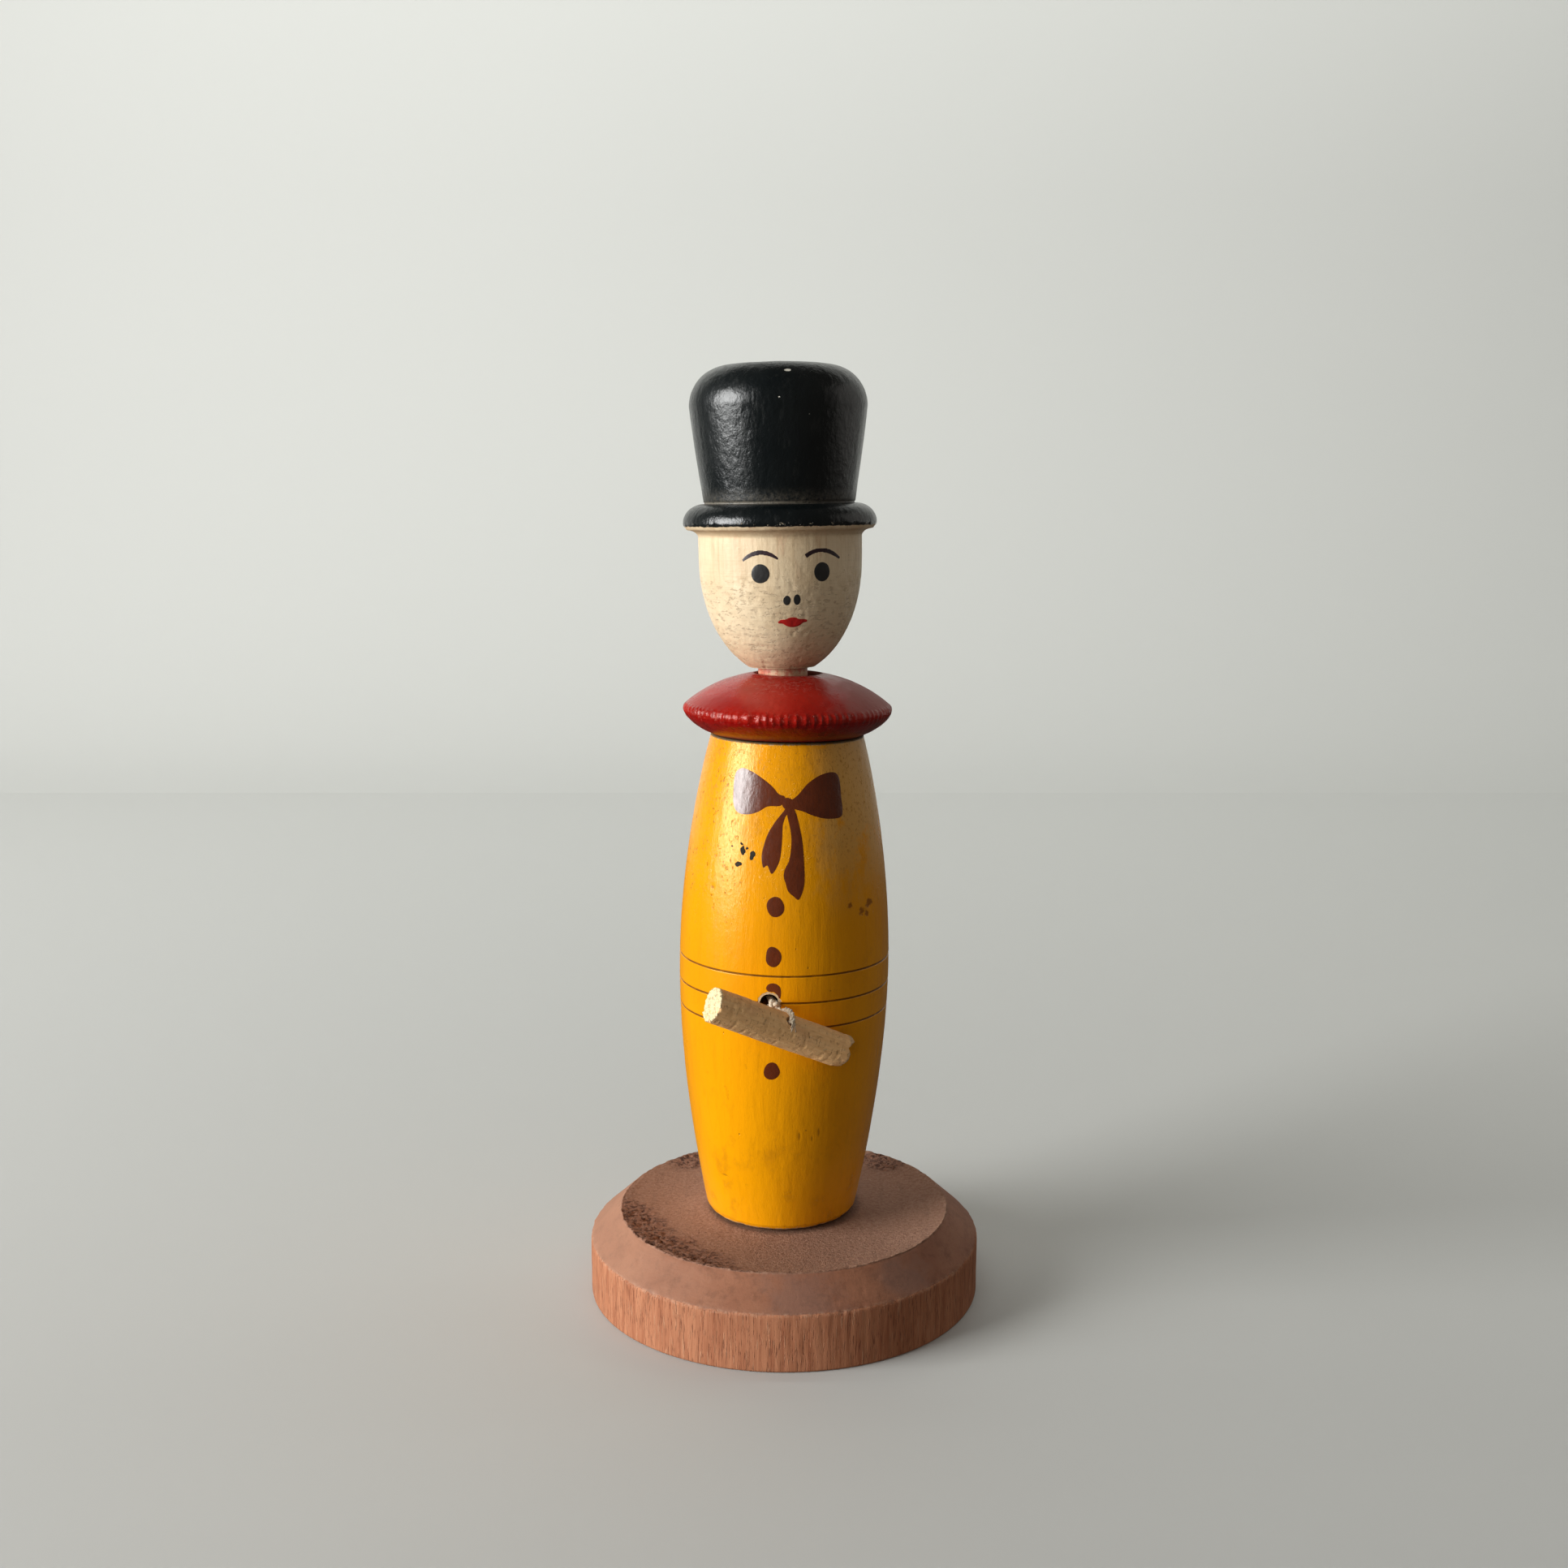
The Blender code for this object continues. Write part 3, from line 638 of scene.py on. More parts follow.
# places are mm round the body from its front, and heights
clothes = {
    "brown": (0.130, 0.023, 0.004), "deepBrown": (0.104, 0.018, 0.003),
    "fleck": (0.035, 0.028, 0.016), "deepFleck": (0.02, 0.018, 0.012),
    "bow_left": [(-8.2, 100.6), (-9.55, 99.7), (-9.95, 97.5), (-9.85, 94.4), (-8.9, 93.0), (-7.0, 92.8),
                 (-5.0, 93.4), (-3.3, 94.4), (-1.2, 94.55), (-0.5, 95.3), (-0.35, 96.2), (-1.4, 96.6),
                 (-2.6, 97.9), (-4.6, 99.3), (-6.4, 100.2)],
    "bow_right": [(0.1, 94.9), (0.75, 95.55), (1.9, 96.4), (3.6, 98.3), (5.7, 99.6), (7.9, 100.1),
                  (9.3, 99.7), (9.95, 98.3), (10.25, 95.6), (10.55, 93.6), (10.1, 92.3), (7.4, 92.2),
                  (4.9, 92.8), (2.7, 93.7), (1.2, 94.1)],
    "bow_tail_left": [(0.1, 94.6), (-0.55, 93.6), (-1.9, 91.9), (-3.3, 89.5), (-4.15, 86.6), (-4.2, 85.0),
                      (-3.9, 83.9), (-3.2, 84.3), (-2.45, 82.9), (-1.5, 84.2), (-0.95, 85.9),
                      (-0.7, 88.9), (-0.62, 91.3), (-0.1, 92.9), (0.5, 93.6)],
    "bow_tail_right": [(0.0, 94.3), (0.15, 92.8), (0.7, 90.6), (0.9, 88.2), (0.6, 85.4), (-0.1, 83.9),
                       (-0.35, 82.6), (0.05, 81.2), (0.45, 80.0), (1.4, 79.1), (2.3, 78.5), (3.0, 79.9),
                       (3.3, 82.0), (3.15, 85.2), (2.85, 88.4), (2.3, 91.0), (1.7, 93.2), (1.0, 94.5)],
    # mm round, height, width, height of the dab, and a seed
    "knot": (0.15, 95.0, 1.9, 2.0, 5),
    "buttons": [(-1.7, 77.2, 3.05, 3.6, 21), (-1.95, 68.4, 2.85, 3.5, 22), (-2.0, 61.95, 2.8, 3.4, 23),
                (-2.0, 47.5, 2.85, 3.25, 24)],
    "flecks": [(-7.75, 86.55, 0.95, 1.55, 3), (-5.95, 85.9, 1.0, 1.55, 4), (-8.6, 84.15, 1.25, 0.9, 6),
               (-6.95, 87.0, 0.45, 0.5, 7), (-8.0, 87.7, 0.55, 0.45, 8), (-9.9, 87.1, 0.35, 0.3, 9)],
    # the waist hole was drilled through the third button, so its lower part is gone
    "drilled": [(-2.75, 62.2), (-3.15, 62.75), (-2.9, 63.35), (-2.2, 63.7), (-1.4, 63.6), (-0.75, 63.1),
                (-0.55, 62.2), (-0.6, 61.3), (-0.85, 61.0), (-1.1, 61.5), (-1.75, 62.1)],
}


def curved(points, steps, closed=True):
    # smooth outline through a few points
    count = len(points)
    out = []
    spans = count if closed else count - 1
    for i in range(spans):
        p = [np.array(points[(i + k) % count] if closed else points[min(max(i + k, 0), count - 1)])
             for k in (-1, 0, 1, 2)]
        for j in range(steps):
            t = j / steps
            out.append(tuple(0.5 * (2 * p[1] + (p[2] - p[0]) * t
                                    + (2 * p[0] - 5 * p[1] + 4 * p[2] - p[3]) * t * t
                                    + (3 * p[1] - p[0] - 3 * p[2] + p[3]) * t ** 3)))
    if not closed:
        out.append(tuple(points[-1]))
    return out


def edgeDistance(point, outline):
    a = outline
    b = np.roll(outline, -1, axis=0)
    ab, ap = b - a, point - a
    t = np.clip((ab * ap).sum(1) / np.maximum((ab * ab).sum(1), 1e-12), 0, 1)
    return float(np.sqrt(((ap - ab * t[:, None]) ** 2).sum(1)).min())


def inOutline(point, outline):
    x, y = outline[:, 0], outline[:, 1]
    nx, ny = np.roll(x, -1), np.roll(y, -1)
    crosses = ((y > point[1]) != (ny > point[1])) & (
        point[0] < (nx - x) * (point[1] - y) / np.where(ny == y, 1e-12, ny - y) + x)
    return bool(crosses.sum() % 2)


def paintFilm(name, outline, skin, material, body, step):
    # a thin closed coat of paint that follows a turned surface inside an outline (mm round, height)
    profile, relief, matrix, turn = skin
    outline = np.array(outline)
    low, high = outline.min(0), outline.max(0)
    coords = [Vector(p) for p in outline]
    edges = [(i, (i + 1) % len(outline)) for i in range(len(outline))]
    for s in np.arange(low[0] + step / 2, high[0], step):
        for h in np.arange(low[1] + step / 2, high[1], step):
            if inOutline((s, h), outline) and edgeDistance((s, h), outline) > step * 0.45:
                coords.append(Vector((s, h)))
    flat, _, tris, *_ = delaunay_2d_cdt(coords, edges, [], 1, 1e-5)
    radii = np.array([profile(p.y) for p in flat])
    angles = np.array([p.x for p in flat]) / radii + turn
    wood = radii + relief(angles, radii, np.array([p.y for p in flat]))
    shape = bmesh.new()
    tops, bottoms = [], []
    for p, r, a in zip(flat, wood, angles):
        near = min(edgeDistance(np.array(p), outline) / film["edge"], 1)
        rise = film["height"] * (0.45 + 0.55 * math.sqrt(max(1 - (1 - near) ** 2, 0)))
        for level, made in ((rise, tops), (-film["sink"], bottoms)):
            made.append(shape.verts.new(Vector(
                ((r + level) * math.sin(a), -(r + level) * math.cos(a), p.y)) * mm))
    for tri in tris:
        shape.faces.new([tops[i] for i in tri])
        shape.faces.new([bottoms[i] for i in reversed(tri)])
    rims = [e for e in shape.edges if len(e.link_faces) == 1]
    pairs = dict(zip(tops, bottoms))
    for e in rims:
        a, b = e.verts
        if a in pairs and b in pairs:
            shape.faces.new((a, b, pairs[b], pairs[a]))
    mesh = meshOf(name, shape)
    mesh.set_sharp_from_angle(angle=math.radians(film["sharp"]))
    return dress(addObject(name, mesh, matrix), material, body)


def blob(s, z, wide, tall, seed, wobble=0.06, count=28):
    # a dab of paint: an oval with a slightly unsteady edge
    chance = random.Random(seed)
    waves = [(chance.uniform(0, 6.3), chance.uniform(-1, 1) * wobble / k) for k in (2, 3, 4, 5)]
    points = []
    for i in range(count):
        a = 2 * math.pi * i / count
        r = 1 + sum(size * math.cos(k * a + phase) for k, (phase, size) in zip((2, 3, 4, 5), waves))
        points.append((s + wide / 2 * r * math.cos(a), z + tall / 2 * r * math.sin(a)))
    return points


def stroke(points, widths):
    # outline of a brush stroke along a smooth line, with a width at each point
    line = np.array(curved(points, 8, closed=False))
    spread = np.interp(np.linspace(0, 1, len(line)), np.linspace(0, 1, len(widths)), widths) / 2
    along = np.gradient(line, axis=0)
    along /= np.linalg.norm(along, axis=1)[:, None]
    side = np.stack([-along[:, 1], along[:, 0]], axis=1) * spread[:, None]
    return [tuple(p) for p in line + side] + [tuple(p) for p in (line - side)[::-1]]


def brushPaint(name, color, deeper, roughness, specular=0.5):
    paint = Finish(name, specular)
    thick = paint.noise((0.5, 0.5, 0.4), 3, 0.6)
    brush = paint.noise((2.2, 2.2, 0.5), 4, 0.6)
    paint.color = paint.mix(thick.step(0.3, 0.7), color, deeper)
    paint.darken(brush.step(0.45, 0.75), 0.78)
    pits = paint.cells((1.7, 1.7, 1.3)).step(0.16, 0.06)
    paint.darken(pits, 0.6)
    paint.bump(paint.noise((0.8, 0.8, 0.6), 3), 0.05)
    paint.bump(paint.noise((1.9, 1.9, 1.3), 3, 0.6), 0.030)
    paint.bump(brush, 0.018)
    return paint.finish(roughness + brush.step(0.3, 0.8) * 0.12)


def paintClothes():
    coat = (barrelRadius, barrelRelief, bodyAxis, 0.0)
    brown = brushPaint("brownPaint", clothes["brown"], clothes["deepBrown"], 0.25, specular=0.75)
    for name in ("bow_left", "bow_right", "bow_tail_left", "bow_tail_right"):
        paintFilm(name, curved(clothes[name], 4), coat, brown, "stand", 0.42)
    paintFilm("bow_knot", curved(blob(*clothes["knot"]), 4), coat, brown, "stand", 0.42)
    for i, dab in enumerate(clothes["buttons"], 1):
        outline = curved(clothes["drilled"], 4) if i == 3 else blob(*dab, wobble=0.11)
        paintFilm(f"button_{i}", outline, coat, brown, "stand", 0.3)
    black = brushPaint("blackFlecks", clothes["fleck"], clothes["deepFleck"], 0.7, specular=0.2)
    for i, dab in enumerate(clothes["flecks"], 1):
        paintFilm(f"fleck_{i}", blob(*dab, wobble=0.5), coat, black, "stand", 0.25)


paintClothes()
print("bow, buttons and flecks painted")

# collar

collar = {
    "seat": 105.4, "bottomR": 13.9, "top": 116.15, "topBow": 0.85, "underBow": 0.35,
    "rimR": 18.9, "rimZ": 109.7, "rimRound": 1.2, "hole": 5.75, "holeRound": 0.4,
    "spigotR": 10.2, "spigot": 6.0, "steps": 640,
    "scallop": 1.45, "chatter": 0.25,
    "red": (0.38, 0.012, 0.006), "deepRed": (0.285, 0.007, 0.004), "underRedShade": (0.25, 0.002, 0.001),
}


def collarOutline():
    rim, rimZ, rimRound = collar["rimR"], collar["rimZ"], collar["rimRound"]
    hole, holeRound, top = collar["hole"], collar["holeRound"], collar["top"]
    seat, foot = collar["seat"], (collar["bottomR"] + 0.1, collar["seat"] + 0.1)
    outline = arc(hole + holeRound, top - 0.45, holeRound, holeRound, 180, 90, 4)
    outline += bowed((hole + 0.8, top - 0.12), (rim - 0.7, rimZ + 1.1), collar["topBow"], 40)
    outline += arc(rim - rimRound, rimZ, rimRound, rimRound, 40, -40, 9)
    outline += bowed((rim - 0.6, rimZ - 1.3), foot, collar["underBow"], 14)
    outline += [(collar["bottomR"], seat), (collar["spigotR"], seat)]
    outline += [(collar["spigotR"], seat - collar["spigot"]), (hole, seat - collar["spigot"])]
    return dense(outline, 1.6)


def collarRelief(angle, r, z):
    spots = roundSpots(angle, r, z)
    above, rim, hole = z - collar["rimZ"], collar["rimR"], collar["hole"]
    skin = smooth(r, hole + 0.55, hole + 1.75) * smooth(z - collar["seat"], -0.4, 0.4)
    lift = 0.06 * layeredNoise(spots * 0.16, 31) + 0.012 * latticeNoise(spots * 1.3, 32)
    # the tool chattered round the rim and left scallops, and knocks have chipped it since
    band = smooth(above, -1.0, -0.6) * smooth(above, 1.2, 0.7) * smooth(r, rim - 1.5, rim - 0.9)
    waves = angle * rim / collar["scallop"]
    waves = waves + 0.45 * latticeNoise(np.stack([waves * 0.37, z * 0, z * 0], axis=1), 33)
    part = waves - np.floor(waves)
    deep = 0.75 + 0.25 * latticeNoise(np.stack([np.floor(waves) * 0.7, z * 0, z * 0 + 5], axis=1), 36)
    lift -= collar["chatter"] * band * deep * (1 - (2 * part - 1) ** 2)
    lift += 0.035 * band * latticeNoise(spots * (2.2, 2.2, 2.6), 37)
    chips = np.clip(layeredNoise(spots * 0.5, 34) - 0.45, 0, 1)
    lift -= 0.25 * band * chips
    below = smooth(above, -0.5, -1.1) * smooth(above, -3.7, -2.9)
    lift += 0.035 * below * layeredNoise(spots * (0.9, 0.9, 0.9), 38)
    mouth = smooth(r, hole + 2.25, hole + 0.25)
    lift -= 0.12 * mouth * np.clip(layeredNoise(spots * 1.2, 35), 0, 1)
    return lift * skin


def redPaint():
    paint = Finish("redPaint", specular=0.46, tint=(1.0, 0.74, 0.68))
    x, above, r = paint.x, paint.z - collar["rimZ"], paint.radius()
    broad = paint.noise((0.09, 0.09, 0.12), 4, 0.55)
    fine = paint.noise((1.8, 1.8, 1.8), 4, 0.62)
    paint.color = paint.mix(broad.step(0.35, 0.68), collar["red"], collar["deepRed"])
    paint.darken(fine.step(0.5, 0.8), 0.82)
    # painted shade: the collar's underside below the rim gets a darker red
    paint.over(above.step(-0.4, -0.8), collar["underRedShade"])
    # faded and dusty towards the doll's left shoulder and the back
    dust = (x * 0.55 + paint.noise((0.35, 0.35, 0.35), 5, 0.7) * 9 + paint.y * 0.12).step(6.5, 11.0)
    dust = dust * above.step(-0.1, 1.5)
    paint.over(dust * 0.62, (0.32, 0.115, 0.095))
    powder = paint.noise((1.3, 1.3, 1.3), 5, 0.75).step(0.50, 0.70) * above.step(3.1, 6.1)
    paint.over(powder * 0.42, (0.50, 0.30, 0.25))
    # rim: thick dark dabs beneath it, and scuffs where it was knocked
    band = above.step(-1.1, -0.6) * above.step(1.3, 0.8) * (r - collar["rimR"]).step(-1.7, -1.1)
    lower = above.step(-0.3, -0.7) * above.step(-3.7, -2.9)
    dabs = paint.noise((0.42, 0.42, 0.65), 4, 0.65).step(0.50, 0.62) * lower.largest(band * 0.25)
    paint.over(dabs * 0.60, (0.115, 0.003, 0.003))
    scuff = paint.noise((1.1, 1.1, 0.9), 5, 0.75).step(0.56, 0.66) * band.largest(lower * 0.55)
    paint.over(scuff * 0.50, (0.50, 0.12, 0.09))
    specks = paint.cells((0.8, 0.8, 0.8)).step(0.12, 0.05)
    paint.over(specks * 0.5, (0.13, 0.010, 0.008))
    edge = (r - collar["hole"] + paint.noise((1.5, 1.5, 1.5), 3) * 0.8).step(1.0, 0.7)
    bare = edge.largest(above.step(-4.2, -4.4))
    paint.over(bare * 0.85, (0.20, 0.07, 0.045))
    rough = 0.24 + broad.step(0.3, 0.7) * 0.06 + dust * 0.28 + powder * 0.2 + bare * 0.4
    rough = rough - band * 0.11 + scuff * 0.12 + above.step(-0.7, -1.5) * 0.08
    paint.bump(paint.noise((0.7, 0.7, 0.7), 3, 0.55), 0.05)
    paint.bump(fine, 0.022)
    paint.bump(paint.noise((1.5, 1.5, 2.2), 4, 0.7) * band.largest(lower), 0.10)
    paint.bump(1 - dabs * 0.5 - specks, 0.05)
    return paint.finish(rough)


def makeCollar():
    lid = turnedPiece("collar_lid", collarOutline(), collar["steps"], bodyAxis, collarRelief, closed=True,
                      sharp=55)
    dress(lid, redPaint(), "stand", ["collar"])


makeCollar()
print("collar turned")

# head and hat

head = {
    "chin": 117.3, "radius": 14.5, "widest": 136.0, "height": 20.5,
    "lip": 141.9, "brimR": 17.2, "brimZ": 142.9, "crownR": 13.45, "crownZ": 146.6,
    "topR": 15.7, "shoulder": 163.1, "round": 7.0, "dome": 0.3,
    "hatEdge": 142.4,           # height where the black paint stops
    "facing": 8.0,              # degrees that the face looks to the viewer's right
    "steps": 448,
    "black": (0.0022, 0.0042, 0.0050), "paleBlack": (0.0050, 0.0070, 0.0075),
    "cream": (0.83, 0.66, 0.44), "deepCream": (0.735, 0.555, 0.345),
    "eye": (0.030, 0.029, 0.028), "brow": (0.035, 0.014, 0.019), "lips": (0.50, 0.016, 0.014),
    # mm round from the front, height, half width, half height, depth
    "knocks": [
        (1.6, 168.2, 0.5, 0.16, 0.10), (-7.9, 153.9, 0.22, 0.22, 0.07), (-9.8, 150.2, 0.22, 0.22, 0.07),
        (0.2, 163.8, 0.35, 0.2, 0.05), (9.6, 129.2, 0.3, 0.4, 0.06), (13.0, 124.5, 0.4, 0.3, 0.06),
        (-11.5, 167.0, 0.3, 0.2, 0.06), (6.0, 156.0, 0.25, 0.3, 0.05), (-4.0, 158.5, 0.2, 0.3, 0.04)],
    # mm round, height, radius there, half width, half height
    "chips": [
        (1.6, 168.3, 12.9, 0.62, 0.24), (0.2, 163.8, 15.6, 0.17, 0.10), (24.0, 158.0, 15.3, 0.3, 0.25)],
}


def faceRadius(z):
    if z >= head["widest"]:
        return head["radius"]
    return head["radius"] * math.sqrt(max(1 - ((head["widest"] - z) / head["height"]) ** 2, 0.0))


def headOutline():
    crownR, crownZ = head["crownR"], head["crownZ"]
    brimR, brimZ, lip = head["brimR"], head["brimZ"], head["lip"]
    flat = head["topR"] - head["round"]
    top = head["shoulder"] + head["round"]
    outline = [(0, top + head["dome"])]
    outline += [(flat * t, top + head["dome"] * (1 - t * t)) for t in np.linspace(0.1, 1, 14)]
    outline += arc(flat, head["shoulder"], head["round"], head["round"], 88, 0, 26)
    outline += bowed((head["topR"], head["shoulder"]), (crownR, crownZ), 0.12, 42)[1:]
    outline += [(crownR - 0.16, crownZ - 0.16), (crownR - 0.12, crownZ - 0.34),
                (crownR + 0.15, crownZ - 0.36)]
    outline += arc(crownR, brimZ, brimR - crownR, crownZ - brimZ - 0.36, 82, -2, 20)
    outline += [(brimR - 0.10, brimZ - 0.40), (brimR - 0.28, brimZ - 0.62), (brimR - 0.42, lip + 0.22),
                (brimR - 0.62, lip - 0.08), (brimR - 1.0, lip - 0.18)]
    outline += bowed((brimR - 1.2, lip - 0.20), (head["radius"] + 0.08, lip - 1.2), -0.22, 8)
    outline += [(head["radius"] + 0.04, z) for z in np.linspace(lip - 1.5, head["widest"] + 0.6, 12)]
    last = -math.degrees(math.asin((head["widest"] - head["chin"] - 0.25) / head["height"]))
    outline += arc(0, head["widest"], head["radius"], head["height"], 0, last, 64)
    chinR = outline[-1][0]
    outline += arc(chinR - 0.45, head["chin"] + 0.25, 0.35, 0.25, 0, -90, 3)
    outline += [(4.6, head["chin"]), (0, head["chin"])]
    return dense(outline, 0.9)


def headRelief(angle, r, z):
    spots = roundSpots(angle, r, z)
    lift = 0.05 * layeredNoise(spots * (0.09, 0.09, 0.05), 41)
    hat = smooth(z - head["hatEdge"], -0.1, 0.5)
    lift += hat * 0.028 * latticeNoise(spots * (0.35, 0.35, 0.18), 42)
    lift += hat * 0.012 * latticeNoise(spots * (1.0, 1.0, 0.8), 43)
    wood = 1 - hat
    lift += wood * 0.010 * latticeNoise(spots * (1.8, 1.8, 0.15), 44)
    pebbles = smooth(z, 137.5, 133.0) * smooth(layeredNoise(spots * 0.14, 45), -0.5, 0.25)
    lift -= wood * pebbles * 0.11 * np.clip(layeredNoise(spots * (1.0, 1.0, 1.25), 46), 0, 1)
    lift += dents(angle, r, z, head["knocks"])
    brim = np.exp(-((z - head["hatEdge"] - 0.2) / 0.5) ** 2) * smooth(r - head["brimR"], -1.4, -0.6)
    lift -= 0.16 * brim * np.clip(layeredNoise(spots * 0.8, 47), 0, 1)
    return lift * smooth(r, 0.3, 2.0)


def headFinish():
    paint = Finish("headPaintAndWood", specular=0.52)
    x, z, r = paint.x, paint.z, paint.radius()
    ragged = paint.noise((0.9, 0.9, 0.9), 4, 0.6)
    hat = (z - head["hatEdge"] + (ragged - 0.5) * 0.5).step(-0.06, 0.06)

    # black gloss, a little blue-green, with rubbed spots
    broad = paint.noise((0.12, 0.12, 0.06), 4, 0.55)
    paint.color = paint.mix(broad.step(0.35, 0.7), head["black"], head["paleBlack"])
    haze = paint.noise((0.9, 0.9, 0.25), 5, 0.7).step(0.52, 0.74)
    paint.over(haze * 0.30, (0.026, 0.027, 0.025))
    above = z - head["crownZ"]
    onBrim = (r - head["crownR"] + ragged * 1.2).step(1.95, 0.75) * above.step(-0.3, -0.6) * hat
    dusty = ((above + ragged * 1.2).step(3.4, 0.4) * above.step(-0.3, 0.0)).largest(onBrim * 0.6)
    powder = paint.noise((1.6, 1.6, 1.6), 5, 0.8).step(0.38, 0.66)
    paint.over(dusty * powder * 0.36, (0.19, 0.165, 0.125))
    groove = (above + 0.22).magnitude().step(0.34, 0.14)
    side = (x * -0.6 + paint.noise((0.30, 0.30, 0.30), 4, 0.7) * 14).step(0.0, 9.0)
    rubbed = groove * (side * 0.65 + 0.25) * paint.noise((1.4, 1.4, 1.4), 4, 0.7).step(0.30, 0.50)
    paint.over(rubbed * 0.60, (0.24, 0.21, 0.165))
    chips = union((paint.ovalAway(onSurface(radius, s, height), wide, tall) + ragged * 0.7).step(
        1.45, 1.2) for s, height, radius, wide, tall in head["chips"])
    dust = paint.cells((0.33, 0.33, 0.33)).step(0.040, 0.018)
    paint.over(chips.largest(dust * 0.3), (0.60, 0.57, 0.49))
    rim = (z - head["brimZ"] + 0.15).magnitude().step(0.5, 0.1) * (r - head["brimR"]).step(-0.9, -0.4)
    worn = rim * paint.noise((1.3, 1.3, 1.3), 4, 0.7).step(0.60, 0.66)
    paint.over(worn * 0.8, (0.40, 0.33, 0.23))
    black = paint.color

    # bare cream wood: streaks above, turning lines and knocks below
    streak = paint.noise((1.5, 1.5, 0.07), 5, 0.65, 0.2)
    soft = paint.noise((0.13, 0.13, 0.10), 4, 0.6)
    paint.color = paint.mix(soft.step(0.32, 0.70), head["cream"], head["deepCream"])
    upper = z.step(128.0, 138.0)
    paint.over(streak.step(0.46, 0.72) * (upper * 0.42 + 0.10), (0.55, 0.385, 0.21))
    pink = paint.noise((0.5, 0.5, 0.12), 3, 0.6).step(0.56, 0.70) * upper
    paint.over(pink * 0.28, (0.64, 0.33, 0.19))
    lines = paint.noise((0.10, 0.10, 3.2), 4, 0.7)
    paint.darken(lines.step(0.50, 0.74) * (1 - upper * 0.6), 0.82)
    ticks = paint.noise((0.60, 0.60, 1.5), 5, 0.72).step(0.54, 0.66) * z.step(137.0, 130.0)
    paint.over(ticks * 0.26, (0.44, 0.29, 0.155))
    pale = paint.noise((0.65, 0.65, 1.7), 4, 0.7).step(0.58, 0.70) * z.step(135.0, 126.0)
    paint.over(pale * 0.25, (0.86, 0.72, 0.50))
    # darker and browner towards the chin
    towardsChin = (z + soft * 6).step(128.0, 118.0)
    paint.over(towardsChin * 0.42, (0.53, 0.36, 0.20))
    shy = paint.cells((0.5, 0.5, 0.5)).step(0.10, 0.045)
    paint.over(shy * 0.45, (0.36, 0.22, 0.12))
    freckle = (paint.away(onSurface(faceRadius(129.2), 10.3, 129.2)) + ragged * 0.4).step(0.6, 0.35)
    paint.over(freckle * 0.5, (0.36, 0.20, 0.12))
    # painted shade on the wood just under the brim
    underBrimShade = (z - head["lip"] + 0.6).magnitude().step(0.9, 0.3) * (1 - hat)
    paint.over(underBrimShade * 0.40, (0.58, 0.41, 0.25))

    paint.color = paint.mix(hat, paint.color, black)
    gloss = 0.21 + broad.step(0.3, 0.7) * 0.07 + haze * 0.12 + rubbed * 0.3 + chips * 0.3 + dusty * 0.22
    matt = 0.44 + soft.step(0.3, 0.7) * 0.10
    rough = hat * gloss + (1 - hat) * matt
    pebble = paint.noise((0.95, 0.95, 0.80), 3, 0.55)
    ripple = paint.noise((0.42, 0.42, 0.05), 2, 0.5)
    paint.bump(pebble, 0.085)
    paint.bump(ripple * hat, 0.10)
    mottle = paint.noise((1.4, 1.4, 1.1), 4, 0.65)
    paint.bump(mottle * hat, 0.055)
    paint.bump(paint.noise((2.6, 2.6, 1.2), 4, 0.65), 0.020)
    paint.bump(streak * (1 - hat) * upper, 0.055)
    paint.bump(lines * (1 - hat), 0.040)
    flaws = (chips + rubbed * 0.5 + worn) * hat + ticks * (1 - hat)
    paint.bump(1 - flaws, 0.07)
    return paint.finish(rough)


def makeHead():
    topped = turnedPiece("head_and_hat", headOutline(), head["steps"], headAxis, headRelief, sharp=60)
    dress(topped, headFinish(), "spinning_head", ["head"])


def paintFace():
    # places are mm round the face from its middle, and heights
    skin = (faceRadius, headRelief, headAxis, math.radians(head["facing"]))
    eye = brushPaint("eyePaint", head["eye"], (0.020, 0.019, 0.019), 0.33)
    brow = brushPaint("browPaint", head["brow"], (0.022, 0.010, 0.014), 0.35)
    lips = brushPaint("lipPaint", head["lips"], (0.42, 0.012, 0.010), 0.30)
    marks = {
        "eye_left": (blob(-5.48, 134.45, 3.2, 3.25, 51, 0.03), eye),
        "eye_right": (blob(5.46, 134.6, 3.15, 3.25, 52, 0.03), eye),
        "nostril_left": (blob(-0.88, 129.85, 1.3, 1.62, 53, 0.06), eye),
        "nostril_right": (blob(0.87, 129.95, 1.22, 1.78, 54, 0.06), eye),
        "brow_left": (stroke([(-8.75, 136.6), (-7.6, 137.4), (-6.1, 137.95), (-4.6, 137.95),
                              (-3.3, 137.5), (-2.3, 136.85)], [0.55, 0.88, 1.0, 0.95, 0.80, 0.45]), brow),
        "brow_right": (stroke([(2.3, 137.25), (3.4, 137.9), (4.8, 138.25), (6.4, 138.15), (7.9, 137.6),
                               (9.4, 136.75)], [0.95, 0.92, 0.88, 0.96, 0.92, 0.55]), brow),
        "mouth": (curved([(-2.25, 126.15), (-1.75, 126.5), (-1.0, 126.55), (-0.45, 126.8), (0.1, 126.9),
                          (0.75, 126.85), (1.25, 126.6), (2.2, 126.55), (2.75, 126.4), (2.7, 126.05),
                          (2.1, 125.9), (1.35, 125.4), (0.3, 125.15), (-0.7, 125.35), (-1.5, 125.8),
                          (-2.15, 125.85)], 4), lips),
    }
    for name, (outline, material) in marks.items():
        step = 0.14 if "brow" in name else 0.22
        paintFilm(name, outline, skin, material, "spinning_head", step)


makeHead()
paintFace()
print("head turned, face painted")

# spindle and peg

